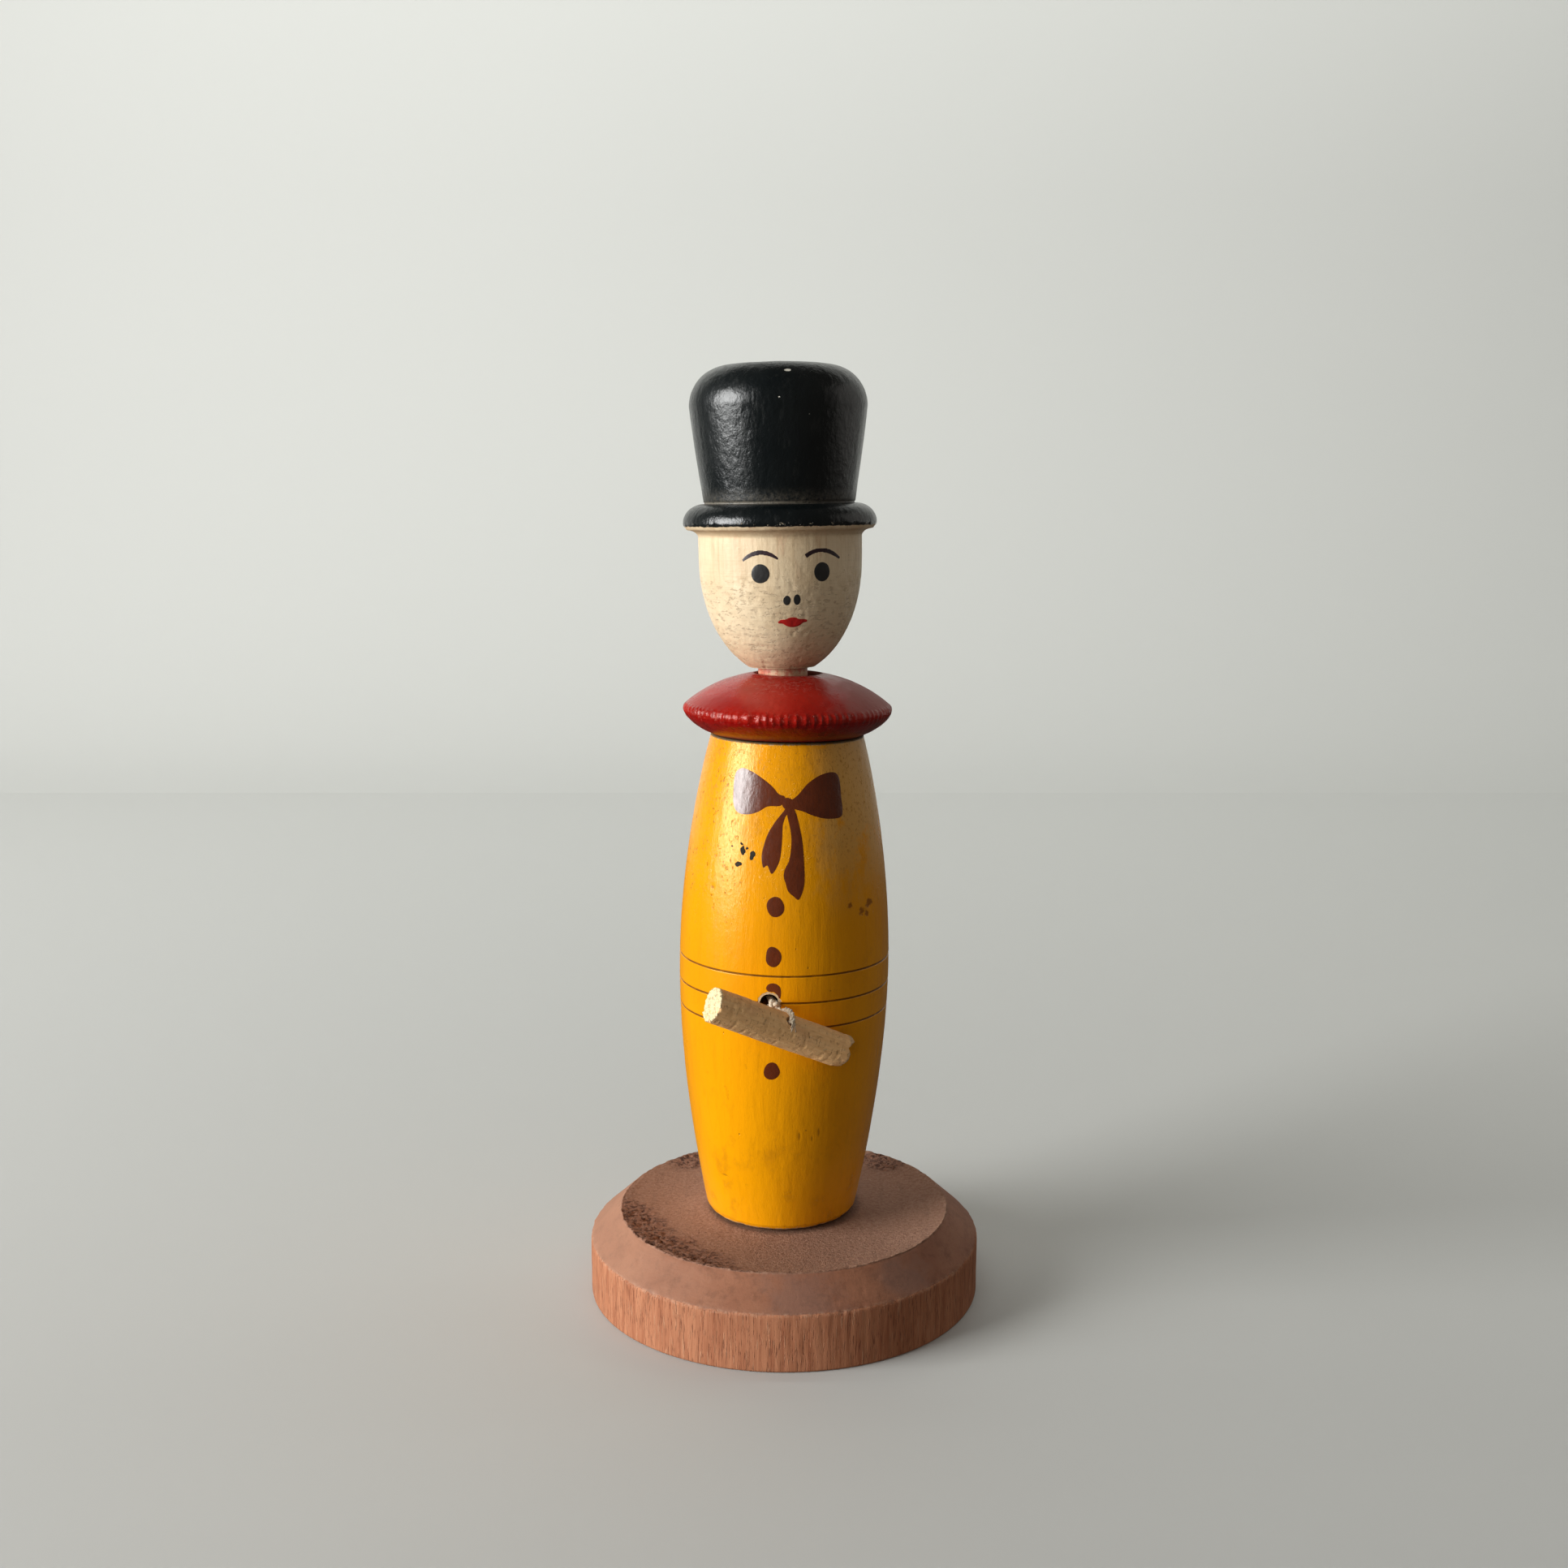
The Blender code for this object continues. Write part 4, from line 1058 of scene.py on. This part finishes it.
spindle = {"radius": 4.45, "top": 133.0, "chamfer": 0.6, "foot": 29.3, "footRise": 2.4,
           "reelR": 3.6, "reelHalf": 3.9, "flare": 0.8, "cordZ": 60.15, "pegZ": 53.2, "pegHoleR": 0.95,
           "wood": (0.72, 0.47, 0.30), "deepWood": (0.53, 0.30, 0.175), "steps": 96}


def makeSpindle():
    r, reelR, flare = spindle["radius"], spindle["reelR"], spindle["flare"]
    high = spindle["cordZ"] + spindle["reelHalf"]
    low = spindle["cordZ"] - spindle["reelHalf"]
    top, chamfer, rise = spindle["top"], spindle["chamfer"], spindle["footRise"]
    outline = [(0, top), (r - chamfer, top), (r, top - chamfer)]
    outline += [(r, high + flare), (reelR, high), (reelR, low), (r, low - flare)]
    outline += arc(0, spindle["foot"] + rise, r, rise, -5, -90, 8)

    def relief(angle, r, z):
        return 0.02 * layeredNoise(roundSpots(angle, r, z) * (1.1, 1.1, 0.4), 61) * smooth(r, 0.5, 2)

    dowel = turnedPiece("spindle_dowel", dense(outline, 1.2), spindle["steps"], spinAxis, relief)
    cross = spinAxis @ Matrix.Translation((0, 0, spindle["pegZ"] * mm))
    cross = cross @ Matrix.Rotation(math.pi / 2, 4, "Y")
    cutWith(dowel, rod("drill", spindle["pegHoleR"], 14, 24, cross))
    wood = Finish("dowelWood", specular=0.35)
    streak = wood.noise((1.6, 1.6, 0.10), 5, 0.65)
    wood.color = wood.mix(streak.step(0.35, 0.72), spindle["wood"], spindle["deepWood"])
    smear = wood.noise((0.75, 0.75, 0.9), 4, 0.65).step(0.42, 0.55) * wood.z.step(113.0, 115.0)
    wood.over(smear * 0.72, (0.52, 0.075, 0.045))
    pores = wood.noise((3.5, 3.5, 0.35), 3, 0.6).step(0.60, 0.72)
    wood.darken(pores, 0.72)
    wood.bump(streak, 0.05)
    wood.bump(1 - pores, 0.03)
    rough = 0.50 + streak * 0.2 - smear * 0.18
    dress(dowel, wood.finish(rough), "spinning_head", ["spindle"])


def pegAndScrew():
    wood = Finish("pegWood", specular=0.3)
    grain = wood.noise((0.3, 3.0, 3.0), 5, 0.6)
    wood.color = wood.mix(grain.step(0.35, 0.7), (0.66, 0.50, 0.30), (0.47, 0.32, 0.18))
    wood.bump(grain, 0.05)
    pegLook = wood.finish(0.55 + grain * 0.2)
    steel = Finish("screwSteel")
    rust = steel.noise((0.7, 0.7, 0.7), 5, 0.65).step(0.50, 0.66)
    brush = steel.noise((3.0, 0.3, 0.3), 4, 0.6)
    steel.color = steel.mix(brush.step(0.3, 0.7), (0.56, 0.54, 0.50), (0.42, 0.40, 0.37))
    steel.over(rust * 0.7, (0.20, 0.085, 0.035))
    steel.bump(brush + rust, 0.02)
    steelLook = steel.finish(0.30 + rust * 0.4 + brush * 0.12, metallic=1 - rust * 0.8)
    for node, look in (("cord_peg", pegLook), ("base_screw", steelLook)):
        frame["nodes"][node].data.materials.clear()
        frame["nodes"][node].data.materials.append(look)


makeSpindle()
pegAndScrew()
print("spindle, peg and screw done")

# base

base = {
    "radius": 36.45, "side": 10.4, "rimR": 30.8, "rimZ": 15.6, "seatR": 14.5, "seat": 15.3,
    "dish": 0.75, "edgeRound": 0.45, "hole": 2.05, "sink": 4.4, "sinkZ": 0.6, "sinkTop": 3.1,
    "steps": 560,
    "chamferWood": (0.340, 0.148, 0.084), "chamferDeep": (0.272, 0.110, 0.062),
    "sideWood": (0.50, 0.208, 0.108), "sideDeep": (0.36, 0.128, 0.062),
    "topWood": (0.36, 0.198, 0.130), "topDeep": (0.250, 0.124, 0.078),
    "bites": ((-19.5, 22.0), (20.5, 21.0)),
    # mm round from the front, height, half width, half height, depth
    "knocks": [(-29.5, 13.2, 0.5, 0.6, 0.12), (8.5, 11.6, 0.9, 0.25, 0.10),
               (17.0, 13.8, 0.8, 0.3, 0.10), (14.0, 12.6, 0.2, 0.9, 0.08)],
}


def baseOutline():
    outline = [(base["hole"], base["seat"]), (base["seatR"], base["seat"])]
    outline += bowed((base["seatR"], base["seat"]), (base["rimR"] - 0.35, base["rimZ"] - 0.05),
                     -base["dish"], 48)[1:]
    outline += arc(base["rimR"] - 0.15, base["rimZ"] - 0.15, 0.18, 0.15, 100, 40, 3)
    corner = (base["radius"] - 0.12, base["side"] + 0.12)
    outline += dense([(base["rimR"] + 0.06, base["rimZ"] - 0.16), corner], 0.35)
    edge = base["edgeRound"]
    outline += dense([(base["radius"], base["side"] - 0.12), (base["radius"], edge)], 0.4)
    outline += arc(base["radius"] - edge, edge, edge, edge, -20, -90, 4)
    outline += dense([(base["radius"] - 2 * edge, 0), (base["sink"], 0)], 2.5)
    outline += [(base["sink"], base["sinkZ"]), (base["hole"], base["sinkTop"])]
    return dense(outline, 2.5)


def tornShare(spots, r):
    # the tool tore a crescent of end grain out at the front left, and two small bites at the back
    reach = -0.80 * spots[:, 0] - 0.60 * spots[:, 1] + 6 * layeredNoise(spots * (0.11, 0.11, 0), 70)
    share = smooth(reach, 21, 27)
    for biteX, biteY in base["bites"]:
        away = np.hypot(spots[:, 0] - biteX, spots[:, 1] - biteY)
        share = np.maximum(share, smooth(away, 6.0, 2.5))
    return share


def baseRelief(angle, r, z):
    spots = roundSpots(angle, r, z)
    lift = 0.05 * layeredNoise(spots * 0.07, 71)
    top = smooth(z - base["rimZ"], -1.4, -1.2) * smooth(r - base["rimR"], 0.15, -0.2)
    torn = top * tornShare(spots, r)
    patch = smooth(layeredNoise(spots * 0.30, 72), -0.30, 0.35)
    crumbs = layeredNoise(spots * (1.1, 1.1, 1.1), 73)
    lift -= torn * (0.55 * patch * np.clip(crumbs + 0.05, 0, 1.2) + 0.11 * np.clip(crumbs, -1, 1))
    lift += top * 0.025 * latticeNoise(spots * 2.0, 74)
    lift += top * 0.020 * latticeNoise(np.stack([r * 1.1, angle * 2, r * 0], axis=1), 75)
    side = smooth(r - base["radius"], -0.45, -0.15) * smooth(z, 0.2, 1.0)
    fibre = latticeNoise(np.stack([angle * base["radius"] * 2.1, z * 0.16, z * 0 + 3], axis=1), 76)
    fibre2 = latticeNoise(np.stack([angle * base["radius"] * 4.3, z * 0.30, z * 0 + 9], axis=1), 77)
    lift += side * (0.045 * fibre - 0.09 * np.clip(fibre2 - 0.35, 0, 1))
    corner = np.exp(-((z - base["side"]) / 0.35) ** 2) * smooth(r - base["radius"], -0.85, -0.25)
    lift -= corner * 0.22 * np.clip(layeredNoise(spots * 0.6, 78) + 0.1, 0, 1)
    rim = np.exp(-((z - base["rimZ"]) / 0.22) ** 2) * smooth(r - base["rimR"], -0.8, -0.3)
    lift -= rim * 0.20 * np.clip(layeredNoise(spots * 0.7, 79) + 0.15, 0, 1)
    lift += dents(angle, r, z, base["knocks"])
    return lift * smooth(z, -0.1, 0.1) * smooth(r, 3.0, 6.0)


def baseWood():
    wood = Finish("baseWood", specular=0.25)
    y, z, r = wood.y, wood.z, wood.radius()
    top = (r - base["rimR"]).step(0.2, -0.2)
    side = (r - base["radius"]).step(-0.3, -0.1)
    broad = wood.noise((0.07, 0.07, 0.10), 4, 0.6)
    grain = wood.noise((1.1, 1.1, 0.07), 6, 0.62, 0.3)
    wood.color = wood.mix(broad.step(0.3, 0.7), base["chamferWood"], base["chamferDeep"])
    wood.over(side, wood.mix(grain.step(0.35, 0.7), base["sideWood"], base["sideDeep"]))

    # short open pores down the side, seen end on across the top
    pores = wood.noise((5.0, 5.0, 0.36), 2, 0.5, 0.15).step(0.58, 0.70)
    long = wood.noise((3.4, 3.4, 0.16), 3, 0.55, 0.2).step(0.60, 0.72)
    poreMask = pores.largest(long * 0.7) * side
    wood.over(poreMask * 0.66, (0.17, 0.055, 0.030))
    # paler fibres down the side, partly the wood's own colour and partly painted glints
    paleFibresAndGlints = wood.noise((4.2, 4.2, 0.28), 2, 0.5).step(0.40, 0.28) * side
    wood.over(paleFibresAndGlints * 0.50, (0.66, 0.36, 0.22))
    dots = wood.cells((1.5, 1.5, 1.5)).step(0.16, 0.07) * (1 - side)
    wood.over(dots * 0.35, (0.19, 0.080, 0.050))
    endGrain = wood.noise((1.5, 1.5, 1.5), 5, 0.75)
    wood.over(top, wood.mix(endGrain.step(0.35, 0.68), base["topWood"], base["topDeep"]))
    rings = wood.noise((0.55, 0.10, 0.55), 4, 0.6)
    wood.darken(rings.step(0.5, 0.75) * (1 - side), 0.84)

    # sanded chamfer: scratches, dark smudges at the front, paler worn corners, and painted light on its
    # left side
    chamfer = (1 - top) * (1 - side)
    sanded = wood.noise((0.35, 0.35, 2.6), 4, 0.7)
    wood.darken(sanded.step(0.52, 0.75) * chamfer, 0.88)
    mottle = wood.noise((0.42, 0.42, 0.42), 6, 0.72)
    wood.darken(mottle.step(0.48, 0.66) * chamfer, 0.80)
    middle = wood.away((3.0, -34.0, 11.8)) + wood.noise((0.25, 0.25, 0.25), 5, 0.7) * 16
    right = wood.away((21.0, -27.0, 13.0)) + wood.noise((0.3, 0.3, 0.3), 4) * 10
    smudge = middle.step(17.5, 9.5).largest(right.step(12.5, 6.5))
    wood.over(smudge * chamfer * 0.40, (0.215, 0.135, 0.110))
    corner = (z - base["side"]).magnitude().step(0.55, 0.1) * (r - base["radius"]).step(-0.75, -0.25)
    rim = (z - base["rimZ"] + 0.05).magnitude().step(0.35, 0.05)
    rim = rim * (r - base["rimR"]).magnitude().step(0.9, 0.2)
    rubbed = corner.largest(rim) * wood.noise((1.2, 1.2, 1.2), 4, 0.65).step(0.44, 0.66)
    wood.over(rubbed * 0.34, (0.58, 0.36, 0.25))
    # painted light: the chamfer paler towards the viewer's left, the side the window lights
    pale = (wood.x * -1.0 + wood.noise((0.2, 0.2, 0.2), 4, 0.65) * 16).step(14.0, 38.0) * chamfer
    wood.over(pale * 0.32, (0.50, 0.285, 0.190))
    # torn end grain, with painted shade in its holes
    tear = wood.noise((1.25, 1.25, 1.25), 5, 0.75)
    reach = wood.x * -0.80 - y * 0.60 + wood.noise((0.14, 0.14, 0.14), 4, 0.65) * 16
    torn = reach.step(28.0, 33.0)
    for biteX, biteY in base["bites"]:
        torn = torn.largest(wood.away((biteX, biteY, base["seat"])).step(6.0, 2.5))
    torn = torn * top
    wood.over(torn * 0.45, (0.25, 0.105, 0.066))
    wood.over(tear.step(0.53, 0.59) * torn * 0.85, (0.080, 0.028, 0.018))
    crumb = wood.noise((2.2, 2.2, 2.2), 4, 0.75).step(0.57, 0.66) * torn
    wood.over(crumb * 0.50, (0.50, 0.30, 0.20))
    # dirt on the top, heaviest at the front, painted contact shadow round the body's foot, and a dusting
    # in the dish
    grit = wood.noise((1.9, 1.9, 1.9), 4, 0.75)
    front = (y * -1.0 + broad * 14).step(8.0, 30.0) * top
    wood.over(grit.step(0.54, 0.62) * (front * 0.55 + top * 0.15), (0.14, 0.056, 0.036))
    # painted contact shadow round the body's foot
    foot = (r - base["seatR"] + wood.noise((0.7, 0.7, 0.7), 3) * 1.6).step(1.4, -0.1)
    wood.darken(foot, 0.62)
    dust = wood.noise((1.6, 1.6, 1.6), 4, 0.7).step(0.62, 0.70) * top
    wood.over(dust * 0.35, (0.58, 0.42, 0.33))
    beneath = z.step(0.30, 0.12)
    wood.over(beneath, wood.mix(rings.step(0.4, 0.65), (0.45, 0.22, 0.14), (0.33, 0.145, 0.09)))

    rough = 0.70 + endGrain * top * 0.15 - chamfer * 0.10 - smudge * chamfer * 0.12
    wood.bump(grain, 0.06)
    wood.bump(paleFibresAndGlints - poreMask, 0.06)
    wood.bump(endGrain * top + sanded * chamfer * 0.3, 0.13)
    wood.bump(1 - tear.step(0.48, 0.66) * torn, 0.28)
    wood.bump(grit * (front + 0.3) * top, 0.26)
    return wood.finish(rough)


def makeBase():
    disc = turnedPiece("base_disc", baseOutline(), base["steps"], Matrix(), baseRelief, closed=True,
                       sharp=50)
    dress(disc, baseWood(), "stand", ["base"])


makeBase()
print("base turned")

# toggle stick

toggle = {
    "radius": 3.0, "length": 27.3, "middle": (-0.8, -26.4, 57.8), "yaw": 24.4, "dip": 25.1,
    "nearRound": 0.15, "farRound": 0.30, "tie": 0.4, "holeR": 0.9, "holeTilt": 46.0, "steps": 180,
    "wood": (1.0, 0.62, 0.295), "deepWood": (0.93, 0.535, 0.235),
    "fresh": (0.90, 0.74, 0.46), "deepFresh": (0.72, 0.54, 0.29),
}


def toggleFrame():
    # Z along the stick, X to its upper side, Y to its front
    yaw, dip = math.radians(toggle["yaw"]), math.radians(toggle["dip"])
    along = Vector((math.cos(dip) * math.cos(yaw), math.cos(dip) * math.sin(yaw), -math.sin(dip)))
    upper = (Vector((0, 0, 1)) - along * along.z).normalized()
    front = along.cross(upper)
    turn = Matrix((upper, front, along)).transposed().to_4x4()
    return Matrix.Translation(Vector(toggle["middle"]) * mm) @ turn


stickFrame = toggleFrame()


def makeToggle():
    radius, half = toggle["radius"], toggle["length"] / 2
    nearRound, farRound = toggle["nearRound"], toggle["farRound"]
    outline = [(0, -half), (0.6, -half)] + [(r, -half) for r in np.linspace(1.0, radius - 0.12, 11)]
    outline += dense([(radius, -half + nearRound), (radius, half - farRound)], 0.22)
    outline += arc(radius - farRound, half - farRound, farRound, farRound, 0, 90, 4)[1:]
    outline += [(r, half) for r in np.linspace(radius - 0.5, 0.3, 12)] + [(0, half)]
    outline = outline[::-1]

    def relief(angle, r, z):
        spots = roundSpots(angle, r, z)
        wall = smooth(r, radius - 0.3, radius - 0.05)
        lift = wall * 0.07 * layeredNoise(spots * (0.5, 0.5, 0.10), 81)
        lift += wall * 0.045 * latticeNoise(spots * (2.6, 2.6, 0.60), 82)
        creases = latticeNoise(spots * (0.9, 0.9, 2.3), 83)
        lift -= wall * 0.13 * np.clip(creases - 0.20, 0, 1)
        lift -= wall * smooth(z, -half + 0.5, -half) * 0.25 * np.clip(
            latticeNoise(spots * (1.8, 1.8, 0.8), 85), 0, 1)
        lift -= smooth(z, half - 2.4, half) * smooth(-spots[:, 0], 0.6, 2.9) * 0.30
        return np.minimum(lift, 0.12)

    def torn(angle, r, z):
        # the near end is a rough cut; the far one tore, with a splinter on top and a notch beneath it
        spots = roundSpots(angle, r, z)
        near = smooth(z, -half + 0.9, -half + 0.02)
        fibres = layeredNoise(spots * (1.9, 1.9, 0), 84)
        far = smooth(z, half - 1.6, half - 0.02)
        splinter = smooth(spots[:, 0], 1.9, 2.45)
        notch = np.exp(-((spots[:, 0] - 1.15) / 0.45) ** 2) * smooth(spots[:, 1], 0.2, 1.5)
        end = 0.50 * splinter - 0.70 * notch - 0.25 + 0.16 * layeredNoise(spots * (1.7, 1.7, 0), 86)
        return far * end - near * (0.24 * fibres + 0.16 * spots[:, 0] / radius)

    stick = turnedPiece("toggle_stick", outline, toggle["steps"], stickFrame, relief, sharp=60,
                        shift=torn)
    hole = stickFrame @ Matrix.Translation((0, 0, toggle["tie"] * mm))
    hole = hole @ Matrix.Rotation(-math.radians(toggle["holeTilt"]), 4, "Z")
    hole = hole @ Matrix.Rotation(-math.pi / 2, 4, "X")
    cutWith(stick, rod("drill", toggle["holeR"], 12, 32, hole))

    wood = Finish("stickWood", specular=0.2)
    z, r = wood.z, wood.radius()
    streak = wood.noise((1.3, 1.3, 0.10), 6, 0.65, 0.3)
    fine = wood.noise((4.2, 4.2, 0.55), 4, 0.7)
    wood.color = wood.mix(streak.step(0.33, 0.70), toggle["wood"], toggle["deepWood"])
    wood.over(fine.step(0.50, 0.78) * 0.36, (0.50, 0.295, 0.145))
    pale = wood.noise((2.6, 2.6, 0.9), 4, 0.7).step(0.60, 0.70)
    wood.over(pale * 0.50, (0.90, 0.69, 0.40))
    rust = wood.noise((0.35, 0.35, 0.16), 3, 0.6).step(0.50, 0.70)
    wood.over(rust * 0.45, (0.74, 0.40, 0.20))
    pits = wood.noise((1.2, 1.2, 2.9), 4, 0.7).step(0.58, 0.70)
    wood.over(pits * 0.34, (0.40, 0.235, 0.12))
    half = toggle["length"] / 2
    ragged = wood.noise((1.5, 1.5, 1.5), 3)
    cutFace = (z + ragged * 0.9).step(-half + 0.80, -half + 0.62)
    fibres = wood.noise((2.4, 2.4, 0.5), 5, 0.75).step(0.40, 0.72)
    wood.over(cutFace, wood.mix(fibres, toggle["fresh"], toggle["deepFresh"]))
    farFace = (z + ragged * 0.6).step(half - 0.75, half - 0.15)
    wood.over(farFace * 0.5, (0.47, 0.36, 0.23))
    wood.bump(streak, 0.08)
    wood.bump(fine, 0.05)
    wood.bump(pale * 0.4 - pits, 0.11)
    wood.bump(wood.noise((3.0, 3.0, 3.0), 4, 0.7) * cutFace, 0.16)
    dress(stick, wood.finish(0.82 + pits * 0.1), "toggle", ["toggle"])


makeToggle()
print("toggle stick cut")

# cord: run, knot, loop, turns on the reel

cord = {"radius": 0.6, "plies": 3, "pitch": 3.2, "windR": 4.5, "windHalf": 2.6, "turns": 5,
        "surface": (-1.9, -19.6, 60.15), "knotY": -21.15, "threads": 9, "fluff": 34,
        "cotton": (0.84, 0.74, 0.58), "deepCotton": (0.66, 0.52, 0.36)}


def onCircle(radius, angle, z):
    return Vector((radius * math.cos(angle), radius * math.sin(angle), z))


def framesAlong(points, closed):
    # each point with two directions across the line that don't twist from one to the next
    normal = None
    for i, p in enumerate(points):
        ahead = points[(i + 1) % len(points)] if closed else points[min(i + 1, len(points) - 1)]
        behind = points[i - 1] if closed or i else points[0]
        tangent = (ahead - behind).normalized()
        if normal is None:
            normal = tangent.orthogonal().normalized()
        normal = (normal - tangent * normal.dot(tangent)).normalized()
        yield p, normal, tangent.cross(normal)


def tube(shape, points, radius, sides=8, closed=False):
    # sweep a round section along points; closed makes a ring, and otherwise the ends are capped
    count = len(points)
    points = [Vector(p) for p in points]
    rings = []
    for i, (p, normal, other) in enumerate(framesAlong(points, closed)):
        size = radius[i] if isinstance(radius, list) else radius
        rings.append([shape.verts.new(p + (normal * math.cos(a) + other * math.sin(a)) * size)
                      for a in (2 * math.pi * k / sides for k in range(sides))])
    shift = 0
    if closed:
        first = rings[0][0].co - points[0]
        shift = max(range(sides), key=lambda k: (rings[-1][k].co - points[-1]).dot(first))
    for i in range(count if closed else count - 1):
        a, b = rings[i], rings[(i + 1) % count]
        move = shift if closed and i == count - 1 else 0
        for k in range(sides):
            corners = (a[(k + move) % sides], a[(k + 1 + move) % sides], b[(k + 1) % sides], b[k])
            shape.faces.new(corners)
    if not closed:
        shape.faces.new(rings[0][::-1])
        shape.faces.new(rings[-1])


def resampled(points, step):
    points = [Vector(p) for p in points]
    out = [points[0]]
    for a, b in zip(points, points[1:]):
        count = max(1, round((b - a).length / step))
        out += [a.lerp(b, (i + 1) / count) for i in range(count)]
    return out


def pliedCord(shape, points, radius, pitch, loose=0.0):
    # strands laid round each other along a line; loose is how far they stray in mm
    plies = cord["plies"]
    points = [Vector(p) for p in points]
    strands = [[] for _ in range(plies)]
    travel = 0.0
    for i, (p, normal, other) in enumerate(framesAlong(points, False)):
        if i:
            travel += (p - points[i - 1]).length
        for k in range(plies):
            a = 2 * math.pi * (k / plies + travel / pitch)
            off = radius * 0.5 + loose * math.sin(travel * (1.7 + 0.6 * k) + 2.1 * k)
            strands[k].append(p + (normal * math.cos(a) + other * math.sin(a)) * off)
    for strand in strands:
        tube(shape, strand, radius * 0.52)


def cordPiece(name, build, matrix=None):
    shape = bmesh.new()
    build(shape)
    mesh = meshOf(name, shape)
    mesh.transform(Matrix.Scale(mm, 4))
    return addObject(name, mesh, matrix or Matrix())


def cottonLook():
    thread = Finish("cotton", specular=0.1, sheen=0.3)
    fibre = thread.noise((7.0, 7.0, 7.0), 4, 0.7)
    soil = thread.noise((0.8, 0.8, 0.8), 4, 0.65)
    thread.color = thread.mix(fibre.step(0.3, 0.7), cord["cotton"], cord["deepCotton"])
    thread.over(soil.step(0.42, 0.66) * 0.60, (0.42, 0.30, 0.18))
    thread.bump(fibre, 0.10)
    return thread.finish(0.92)


def makeCord():
    cotton = cottonLook()
    surface = Vector(cord["surface"])
    knot = surface + pull * ((cord["knotY"] - surface.y) / pull.y)
    start = surface - pull * (-surface.y - 0.6)

    def run(shape):
        pliedCord(shape, resampled([start, knot], 0.35), cord["radius"], cord["pitch"])

    runPiece = cordPiece("cord_run", run)
    runPiece.data.materials.append(cotton)
    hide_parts("pull_cord")
    tuple(knot * mm - pull * 0.0004)
    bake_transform(runPiece)

    def tied(shape):
        # an overhand knot pulled tight
        turn = pointing(pull, (0, 0, 0)).to_3x3()
        points = []
        for i in range(60):
            t = 2 * math.pi * i / 60
            p = Vector((math.sin(t) + 2 * math.sin(2 * t), math.cos(t) - 2 * math.cos(2 * t),
                        -1.1 * math.sin(3 * t)))
            points.append(knot + turn @ (p * 0.235))
        tube(shape, points, 0.40, closed=True)
        tube(shape, [knot + Vector(p) for p in ((0.1, 0.3, -0.1), (0.5, -0.2, -0.3), (0.9, -0.5, -0.2),
                                                (1.2, -0.9, -0.35))], [0.3, 0.28, 0.24, 0.15], 7)

    dress(cordPiece("cord_knot_tied", tied), cotton, "toggle", ["cord_knot"])

    rise = toggle["radius"] + 0.40
    mouth = math.radians(90 - toggle["holeTilt"])
    back = math.radians(-90 - toggle["holeTilt"])
    inset = 0.3

    def loop(shape):
        line = []
        for i in range(25):
            a = (mouth - inset) + (back - mouth + 2 * inset) * i / 24
            line.append(onCircle(rise, a, toggle["tie"]))
        through = onCircle(1, mouth, 0)
        for reach in (-1.13, -0.95, -0.45, 0.0, 0.45, 0.95, 1.13):
            line.append(through * reach * toggle["radius"] + Vector((0, 0, toggle["tie"])))
        line = curved([tuple(p) for p in line], 2)
        pliedCord(shape, line + line[:1], cord["radius"] * 0.85, 2.6, loose=0.05)
        # loose threads at the front mouth
        chance = random.Random(7)
        lip = through * (toggle["radius"] + 0.35) + Vector((0, 0, toggle["tie"]))
        for i in range(cord["threads"]):
            drop = chance.uniform(0.6, 2.6)
            sway = chance.uniform(-0.2, 1.0)
            hang = mouth + drop / 3.2
            points = [lip]
            for j in range(1, 7):
                t = j / 6
                a = mouth + (hang - mouth) * t
                r = toggle["radius"] + 0.22 + 0.25 * math.sin(t * 2.5)
                points.append(onCircle(r, a, toggle["tie"] + sway * t + chance.uniform(-0.08, 0.08)))
            tube(shape, points, [0.13 - 0.012 * j for j in range(7)], 5)

    dress(cordPiece("cord_loop", loop, stickFrame), cotton, "toggle", ["toggle_loop"])

    def fluff(shape):
        chance = random.Random(19)
        for i in range(cord["fluff"]):
            way, bend = (Vector([chance.gauss(0, 1) for _ in range(3)]) for _ in range(2))
            way, bend = way.normalized(), bend * 0.25
            reach = chance.uniform(0.5, 0.95)
            points = [knot + way * (0.5 + reach * t) + bend * t * t for t in (0, 0.25, 0.5, 0.75, 1)]
            tube(shape, points, [0.035, 0.032, 0.028, 0.024, 0.015], 4)

    dress(cordPiece("cord_fluff", fluff), cotton, "toggle")

    def turns(shape):
        low = spindle["cordZ"] - cord["windHalf"]
        count = 36 * cord["turns"]
        points = [onCircle(cord["windR"], 2 * math.pi * i / 36, low + 2 * cord["windHalf"] * i / count)
                  for i in range(count + 1)]
        pliedCord(shape, points, cord["radius"], cord["pitch"])

    dress(cordPiece("cord_turns", turns, spinAxis), cotton, "spinning_head", ["cord_winding"])


makeCord()
print("cord wound, led out and tied")
